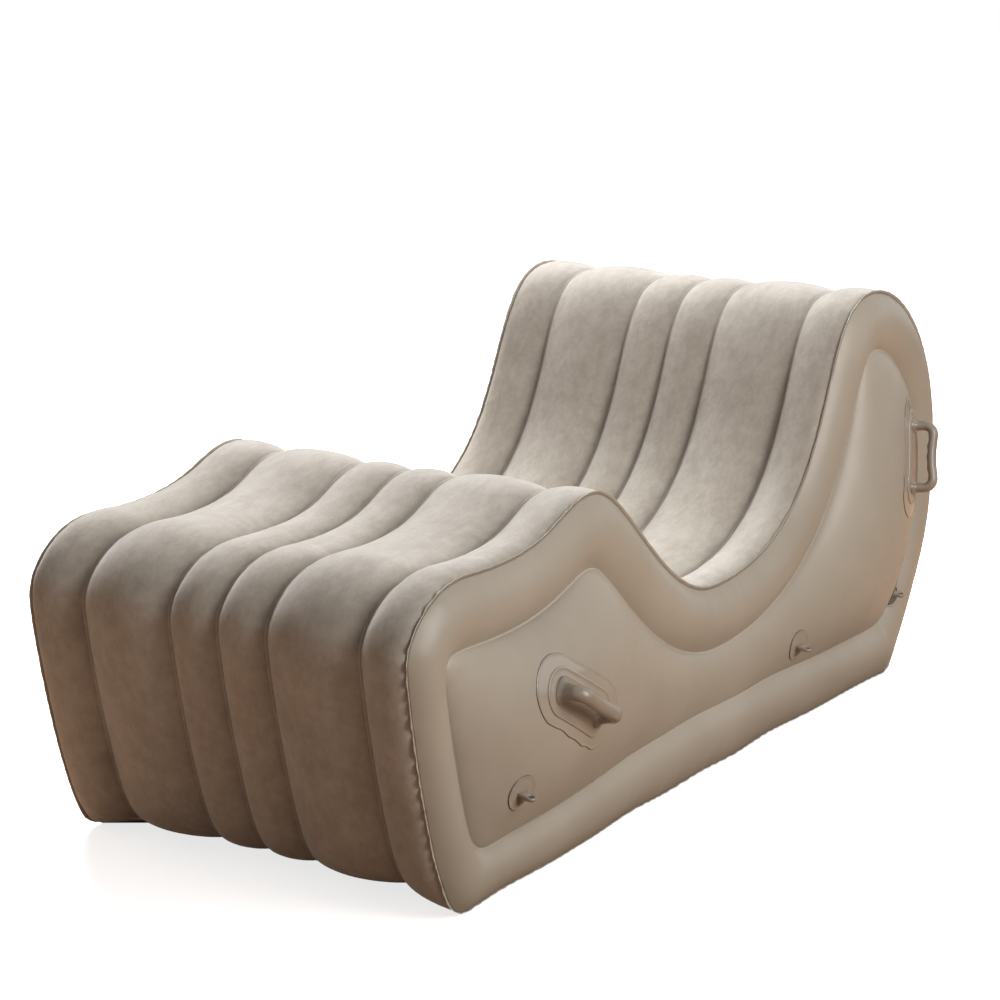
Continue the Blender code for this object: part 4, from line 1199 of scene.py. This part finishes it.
def seatFrame(side, reach, height, lean, spread):
    # Axes on the side sheet: along the fitting, across it (upwards) and outwards
    inward = Vector((-side, 0.0, 0.0))
    total = Vector()
    for dy in (-spread, 0.0, spread):
        for dz in (-spread, 0.0, spread):
            _, normal = castOnto(side, Vector((side * 2.0, reach + dy, height + dz)), inward)
            total += normal if normal.x * side > 0 else -normal
    normal = total.normalized()
    place, _ = castOnto(side, Vector((side * 2.0, reach, height)), inward)
    angle = math.radians(lean)
    along = Vector((0.0, math.cos(angle), math.sin(angle)))
    along = (along - normal * along.dot(normal)).normalized()
    across = normal.cross(along) * side
    seat = Matrix((along, across, normal)).transposed().to_4x4()
    seat.translation = place
    return seat


def levelAt(side, seat, u, v):
    # Height of the side sheet above the fitting's own plane
    outward = seat.col[2].to_3d()
    start = seat @ Vector((u, v, 0.08))
    place, _ = castOnto(side, start, -outward)
    if place is None:
        return 0.0
    return (place - seat.translation).dot(outward)


def stadiumRing(half, radius, arcSteps, sideSteps):
    # Round-ended ring of (along, across), with the same count for every radius
    points = [(half * (2 * k / sideSteps - 1), radius) for k in range(sideSteps)]
    points += [(half + radius * math.sin(math.pi * k / arcSteps),
                radius * math.cos(math.pi * k / arcSteps)) for k in range(arcSteps)]
    points += [(half * (1 - 2 * k / sideSteps), -radius) for k in range(sideSteps)]
    points += [(-half - radius * math.sin(math.pi * k / arcSteps),
                -radius * math.cos(math.pi * k / arcSteps)) for k in range(arcSteps)]
    return points


def layeredPlate(bm, side, seat, half, radius, profile, edgeWave=None):
    # Closed plate that follows the sheet; profile rows are (inset, height, line)
    weld = bm.verts.layers.float["weld"]
    rows = []
    for inset, height, line in profile:
        row = []
        for u, v in stadiumRing(half, max(radius - inset, 0.0), 20, 26 if half else 0):
            if edgeWave:
                shift = edgeWave(u, v) * max(0.0, 1 - inset / (radius * 0.5))
                size = math.hypot(max(abs(u) - half, 0.0), v) or 1.0
                v += shift * v / size
            level = levelAt(side, seat, u, v)
            vert = bm.verts.new(seat @ Vector((u, v, level + height)))
            vert[weld] = line
            row.append(vert)
        rows.append(row)
    joinRings(bm, rows, capped=False)
    bmesh.ops.remove_doubles(bm, verts=rows[0] + rows[-1], dist=1e-5)


handles = {
    "patchLength": 0.227,
    "patchWidth": 0.110,
    "patchSheet": 0.0011,
    "patchWave": 0.0022,
    "plateLength": 0.176,
    "plateWidth": 0.076,
    "plateThickness": 0.0034,
    "gripSpacing": 0.114,
    "gripReach": 0.036,
    "gripRadius": 0.0088,
    "gripWidth": 1.35,       # width of the bar as a share of its thickness
    "gripSides": 28,
    "gripBend": 0.016,
    "gripBow": 0.0032,       # how far the middle of the bar dips to the plate
    "footFlare": 0.32,
    "grooves": 4,
    "grooveDepth": 0.17,
    "seatSpread": 0.03,      # how far apart the sheet is felt for the plate's lie
    "front": (0.204, 0.545, -32.0),   # share of length, share of height, lean
    "rear": (0.891, 0.579, -107.0),
}


def patchWaveAt(u, v):
    size = handles["patchWave"] * (1.0 if v < 0 else 0.45)
    return size * (wave(u + 0.3, 0.021, 21 if v < 0 else 22) - 0.2)


def handlePatch(name, side, seat):
    sheet = handles["patchSheet"]
    radius = handles["patchWidth"] / 2
    half = handles["patchLength"] / 2 - radius
    # The outer rings take the film's dark edge colour, a painted shade line
    profile = [(radius, -0.0006, 0.0), (0.0, -0.0006, 1.0), (0.0, 0.5 * sheet, 1.0),
               (0.0005, sheet, 1.0), (0.0014, 1.4 * sheet, 0.3), (0.0026, 1.3 * sheet, 0.0),
               (0.0040, 0.8 * sheet, 0.0), (0.0065, sheet, 0.0)]
    profile += [(inset, sheet, 0.0) for inset in (0.013, 0.021, 0.030, 0.042, radius)]
    bm, _ = weldMesh()
    layeredPlate(bm, side, seat, half, radius, profile, patchWaveAt)
    turnFaces(bm)
    obj = newPiece(name.replace("handle_patch", "welded_patch"), bm, "clear_patch")
    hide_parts(name)


def gripLine():
    # Centre line of the bar in (along, outwards), with its bent ends
    half, reach, bend = handles["gripSpacing"] / 2, handles["gripReach"], handles["gripBend"]
    side = [(-half, -0.008 + (reach - bend + 0.008) * k / 12) for k in range(12)]
    for k in range(9):
        turn = math.pi * (1 - k / 16)
        side.append((-half + bend + bend * math.cos(turn), reach - bend + bend * math.sin(turn)))
    inner = half - bend
    bar = []
    for k in range(1, 48):
        t = k / 24 - 1
        dip = handles["gripBow"] * (1 - t * t) ** 1.5
        bar.append((inner * t, reach - dip))
    return side + bar + [(-u, w) for u, w in side[::-1]], len(side), len(bar)


def gripBar(bm, side, seat):
    line, first, count = gripLine()
    points = [Vector(p) for p in line]
    floor = {sign: levelAt(side, seat, sign * handles["gripSpacing"] / 2, 0.0)
             for sign in (-1, 1)}
    rings = []
    for i, point in enumerate(points):
        ahead = points[min(i + 1, len(points) - 1)] - points[max(i - 1, 0)]
        ahead.normalize()
        outward = Vector((-ahead.y, ahead.x))
        share = (i - first) / count
        groove = 0.0
        if 0 < share < 1:
            groove = handles["grooveDepth"] * math.sin(math.pi * handles["grooves"] * share) ** 2
        base = floor[-1 if point.x < 0 else 1] + handles["plateThickness"]
        above = max(0.0, point.y - base)
        leg = max(0.0, 1 - above / (handles["gripReach"] - handles["gripBend"]))
        fillet = 0.45 * math.exp(-above / 0.0028)
        width = handles["gripWidth"] * (1 + handles["footFlare"] * leg)
        ring = []
        for k in range(handles["gripSides"]):
            turn = 2 * math.pi * k / handles["gripSides"]
            c, d = math.cos(turn), math.sin(turn)
            radius = handles["gripRadius"] * (1 + fillet)
            inward = max(0.0, -c) ** 0.6
            spot = point + outward * (radius * c * (1 - groove * inward))
            ring.append(bm.verts.new(seat @ Vector((spot.x, radius * width * d, spot.y))))
        rings.append(ring)
    joinRings(bm, rings)


def handlePiece(name, side, seat):
    thick = handles["plateThickness"]
    radius = handles["plateWidth"] / 2
    half = handles["plateLength"] / 2 - radius
    profile = [(radius, 0.0, 0.0), (0.0, 0.0, 0.0), (0.0, 0.55 * thick, 0.2),
               (0.0007, 0.88 * thick, 0.8), (0.0016, thick, 0.8), (0.0027, 0.96 * thick, 0.3),
               (0.0040, 0.70 * thick, 0.4), (0.0060, 0.60 * thick, 0.5),
               (0.0110, 0.60 * thick, 0.5), (0.0120, 0.72 * thick, 0.6),
               (0.0132, 0.72 * thick, 0.6), (0.0142, 0.56 * thick, 0.4),
               (0.0170, 0.54 * thick, 0.3), (0.0220, 0.56 * thick, 0.3),
               (0.0290, 0.60 * thick, 0.3), (radius, 0.62 * thick, 0.3)]
    bm, _ = weldMesh()
    layeredPlate(bm, side, seat, half, radius, profile)
    gripBar(bm, side, seat)
    turnFaces(bm)
    obj = newPiece(name.replace("handle_", "moulded_handle_"), bm, "moulded_fittings")
    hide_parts(name)


tieLoops = {
    "discRadius": 0.0285,
    "discThickness": 0.0014,
    "rim": 0.0006,
    "tabThickness": 0.0060,
    "tabReach": 0.0175,
    "tabBase": 0.0118,       # half its width at the disc
    "tabTip": 0.0087,
    "holeRadius": 0.0045,
    "webWidth": 0.0138,
    "webReach": 0.0122,
    "webDrop": 0.0200,
    "places": (("front", 0.129, 0.168), ("middle", 0.659, 0.161), ("rear", 0.894, 0.161)),
}


def loopDisc(bm, side, seat):
    radius, thick = tieLoops["discRadius"], tieLoops["discThickness"]
    top = thick + tieLoops["rim"]
    # The disc's foot is marked -1, a dark line of painted shade
    profile = [(radius, -0.0006, -1.0), (0.0, -0.0006, -1.0), (0.0, 0.6 * thick, -1.0),
               (0.0006, 0.9 * top, -0.8), (0.0012, top, 0.7), (0.0022, 0.9 * top, 0.6),
               (0.0032, thick, 0.6), (0.0060, 0.9 * thick, 0.6), (0.0120, 0.9 * thick, 0.6),
               (0.0200, thick, 0.5), (radius, thick, 0.4)]
    layeredPlate(bm, side, seat, 0.0, radius, profile)


def tabOutline():
    tip, reach, base = tieLoops["tabTip"], tieLoops["tabReach"], tieLoops["tabBase"]
    points = [(tip * math.cos(math.pi * k / 18), reach + tip * math.sin(math.pi * k / 18))
              for k in range(19)]
    left = [(-tip - (base - tip) * (k / 8) ** 1.6, reach * (1 - k / 8) - 0.003 * k / 8)
            for k in range(1, 9)]
    low = [(base * (k / 4 - 1), -0.003) for k in range(1, 8)]
    right = [(-u, w) for u, w in left[::-1]]
    return points + left + low + right


def loopTab(bm, seat):
    half = tieLoops["tabThickness"] / 2
    middle = Vector((0.0, tieLoops["tabReach"]))
    rows = []
    for u, w in tabOutline():
        edge = Vector((u, w))
        way = (edge - middle).normalized()
        hole = middle + way * tieLoops["holeRadius"]
        lip = middle + way * (tieLoops["holeRadius"] + 0.0010)
        rows.append([seat @ Vector((p.x, level, p.y)) for p, level in (
            (hole, 0.6 * half), (lip, half), (edge - way * 0.0014, half),
            (edge - way * 0.0004, 0.75 * half), (edge, 0.2 * half), (edge, -0.2 * half),
            (edge - way * 0.0004, -0.75 * half), (edge - way * 0.0014, -half),
            (lip, -half), (hole, -0.6 * half))])
    rings = [[bm.verts.new(p) for p in row] for row in rows]
    joinRings(bm, rings[-1:] + rings, capped=False)


def loopWeb(bm, seat):
    # The wedge under the tab, running down the disc to nothing
    rows = []
    start = -tieLoops["tabThickness"] / 2 + 0.0006
    for k in range(15):
        t = k / 14
        half = tieLoops["webWidth"] / 2 * (1 - 0.30 * t)
        reach = tieLoops["webReach"] * (1 - t) + 0.0016 * t
        reach += 0.0030 * math.exp(-t * 14)
        level = start - (tieLoops["webDrop"] + start) * t
        soft = min(0.0022, half * 0.5, max(reach, 0.0005) * 0.6)
        rows.append([seat @ Vector((u, level, w)) for u, w in (
            (-half, -0.003), (-half, reach - soft), (-half + 0.3 * soft, reach - 0.3 * soft),
            (-half + soft, reach), (half - soft, reach), (half - 0.3 * soft, reach - 0.3 * soft),
            (half, reach - soft), (half, -0.003))])
    joinRings(bm, [[bm.verts.new(p) for p in row] for row in rows])


def tieLoop(name, side, share, height):
    reach = (share - 0.5) * lounger["length"]
    seat = seatFrame(side, reach, height, 0.0, tieLoops["discRadius"] * 0.6)
    bm, _ = weldMesh()
    loopDisc(bm, side, seat)
    loopTab(bm, seat)
    loopWeb(bm, seat)
    turnFaces(bm)
    obj = newPiece(name.replace("tie_loop", "moulded_tie_loop"), bm, "moulded_fittings")
    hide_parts(name)


for word, side in (("right", 1), ("left", -1)):
    for place, high in (("front", lounger["stepHeight"]), ("rear", lounger["backHeight"])):
        share, height, lean = handles[place]
        seat = seatFrame(side, (share - 0.5) * lounger["length"], height * high, lean,
                         handles["seatSpread"])
        handlePatch("handle_patch_" + place + "_" + word, side, seat)
        handlePiece("handle_" + place + "_" + word, side, seat)
    for place, share, height in tieLoops["places"]:
        tieLoop("tie_loop_" + place + "_" + word, side, share, height)
print("handles and tie loops made")


# The valve keeps its CAD shapes, with the valve materials put on them

for name, slot in (("valve_base", "valve_plastic"), ("valve_insert", "valve_plastic"),
                   ("valve_cap", "valve_plastic"), ("valve_seal", "valve_rubber"),
                   ("valve_flap", "valve_rubber")):
    node = bpy.data.objects[name]
    for holder in node.material_slots:
        holder.material = materials[slot]
print("valve finished")


# Floor, backdrop and light

studio = {
    "floorSize": 14.0,
    "floorLevel": -0.0005,
    "floorRoughness": 0.95,
    "seenFloor": (0.9, 0.9, 0.9),
    "floorColour": (0.50, 0.31, 0.20),
    "floorGlow": 0.76,       # what the floor adds for the camera only, near the lounger
    "farGlow": 1.0,          # and away from it, where it is plain white
    "glowReach": (1.1, 2.1),
    "skyStrength": 0.12,
    "skyColour": (0.98, 0.97, 0.96),
}


def onlySeen(tree):
    # 1 for what the camera, a reflection or clear material sees directly
    path = addNode(tree, "ShaderNodeLightPath")
    first = addNode(tree, "ShaderNodeMath", operation="MAXIMUM")
    tree.links.new(path.outputs["Is Camera Ray"], first.inputs[0])
    tree.links.new(path.outputs["Is Glossy Ray"], first.inputs[1])
    last = addNode(tree, "ShaderNodeMath", operation="MAXIMUM")
    tree.links.new(first.outputs[0], last.inputs[0])
    tree.links.new(path.outputs["Is Transmission Ray"], last.inputs[1])
    return last.outputs[0], path.outputs["Is Camera Ray"]


def makeStudio():
    bm = bmesh.new()
    bmesh.ops.create_grid(bm, x_segments=1, y_segments=1, size=studio["floorSize"])
    mesh = bpy.data.meshes.new("studio_floor")
    bm.to_mesh(mesh)
    bm.free()
    floor = bpy.data.objects.new("studio_floor", mesh)
    floor.location = (0.0, 0.0, studio["floorLevel"])
    bpy.context.scene.collection.objects.link(floor)
    made, tree, shader = newMaterial("studio_floor")
    shader.inputs["Roughness"].default_value = studio["floorRoughness"]
    shader.inputs["Specular IOR Level"].default_value = 0.0
    _, byCamera = onlySeen(tree)
    tree.links.new(mixColour(tree, byCamera, studio["floorColour"], studio["seenFloor"]),
                   shader.inputs["Base Color"])
    shader.inputs["Emission Color"].default_value = (1.0, 1.0, 1.0, 1.0)
    coords = addNode(tree, "ShaderNodeTexCoord")
    away = addNode(tree, "ShaderNodeVectorMath", operation="LENGTH")
    tree.links.new(coords.outputs["Object"], away.inputs[0])
    glow = rangeOf(tree, away.outputs["Value"], studio["floorGlow"], studio["farGlow"],
                   *studio["glowReach"])
    seenGlow = addNode(tree, "ShaderNodeMath", operation="MULTIPLY")
    tree.links.new(glow, seenGlow.inputs[0])
    tree.links.new(byCamera, seenGlow.inputs[1])
    tree.links.new(seenGlow.outputs[0], shader.inputs["Emission Strength"])
    mesh.materials.append(made)
    world = bpy.data.worlds.new("studio_world")
    bpy.context.scene.world = world
    world.use_nodes = True
    tree = world.node_tree
    background = tree.nodes["Background"]
    seen, _ = onlySeen(tree)
    tree.links.new(mixColour(tree, seen, studio["skyColour"], (1.0, 1.0, 1.0)),
                   background.inputs["Color"])
    tree.links.new(rangeOf(tree, seen, studio["skyStrength"], 1.0), background.inputs["Strength"])


lamps = {
    "overhead_softbox": {"place": (-2.0, 1.5, 3.0), "aim": (0.0, 0.1, 0.2), "size": 2.4,
                         "power": 236.0, "colour": (1.0, 1.0, 1.0)},
    "side_softbox": {"place": (3.6, -0.3, 2.0), "aim": (0.3, 0.0, 0.3), "size": 2.2,
                     "power": 92.0, "colour": (1.0, 0.99, 0.97)},
    "front_softbox": {"place": (-1.4, -3.4, 2.6), "aim": (0.0, -0.8, 0.3), "size": 2.2,
                      "power": 8.0, "colour": (1.0, 0.74, 0.52)},
}


def areaLamp(name, lamp):
    data = bpy.data.lights.new(name, "AREA")
    data.shape = "RECTANGLE"
    data.size = data.size_y = lamp["size"]
    data.energy = lamp["power"]
    data.color = lamp["colour"]
    obj = bpy.data.objects.new(name, data)
    place = Vector(lamp["place"])
    obj.location = place
    obj.rotation_euler = (Vector(lamp["aim"]) - place).to_track_quat("-Z", "Y").to_euler()
    bpy.context.scene.collection.objects.link(obj)


makeStudio()
for name, lamp in lamps.items():
    areaLamp(name, lamp)
bpy.context.scene.view_settings.view_transform = "Standard"
print("studio made")
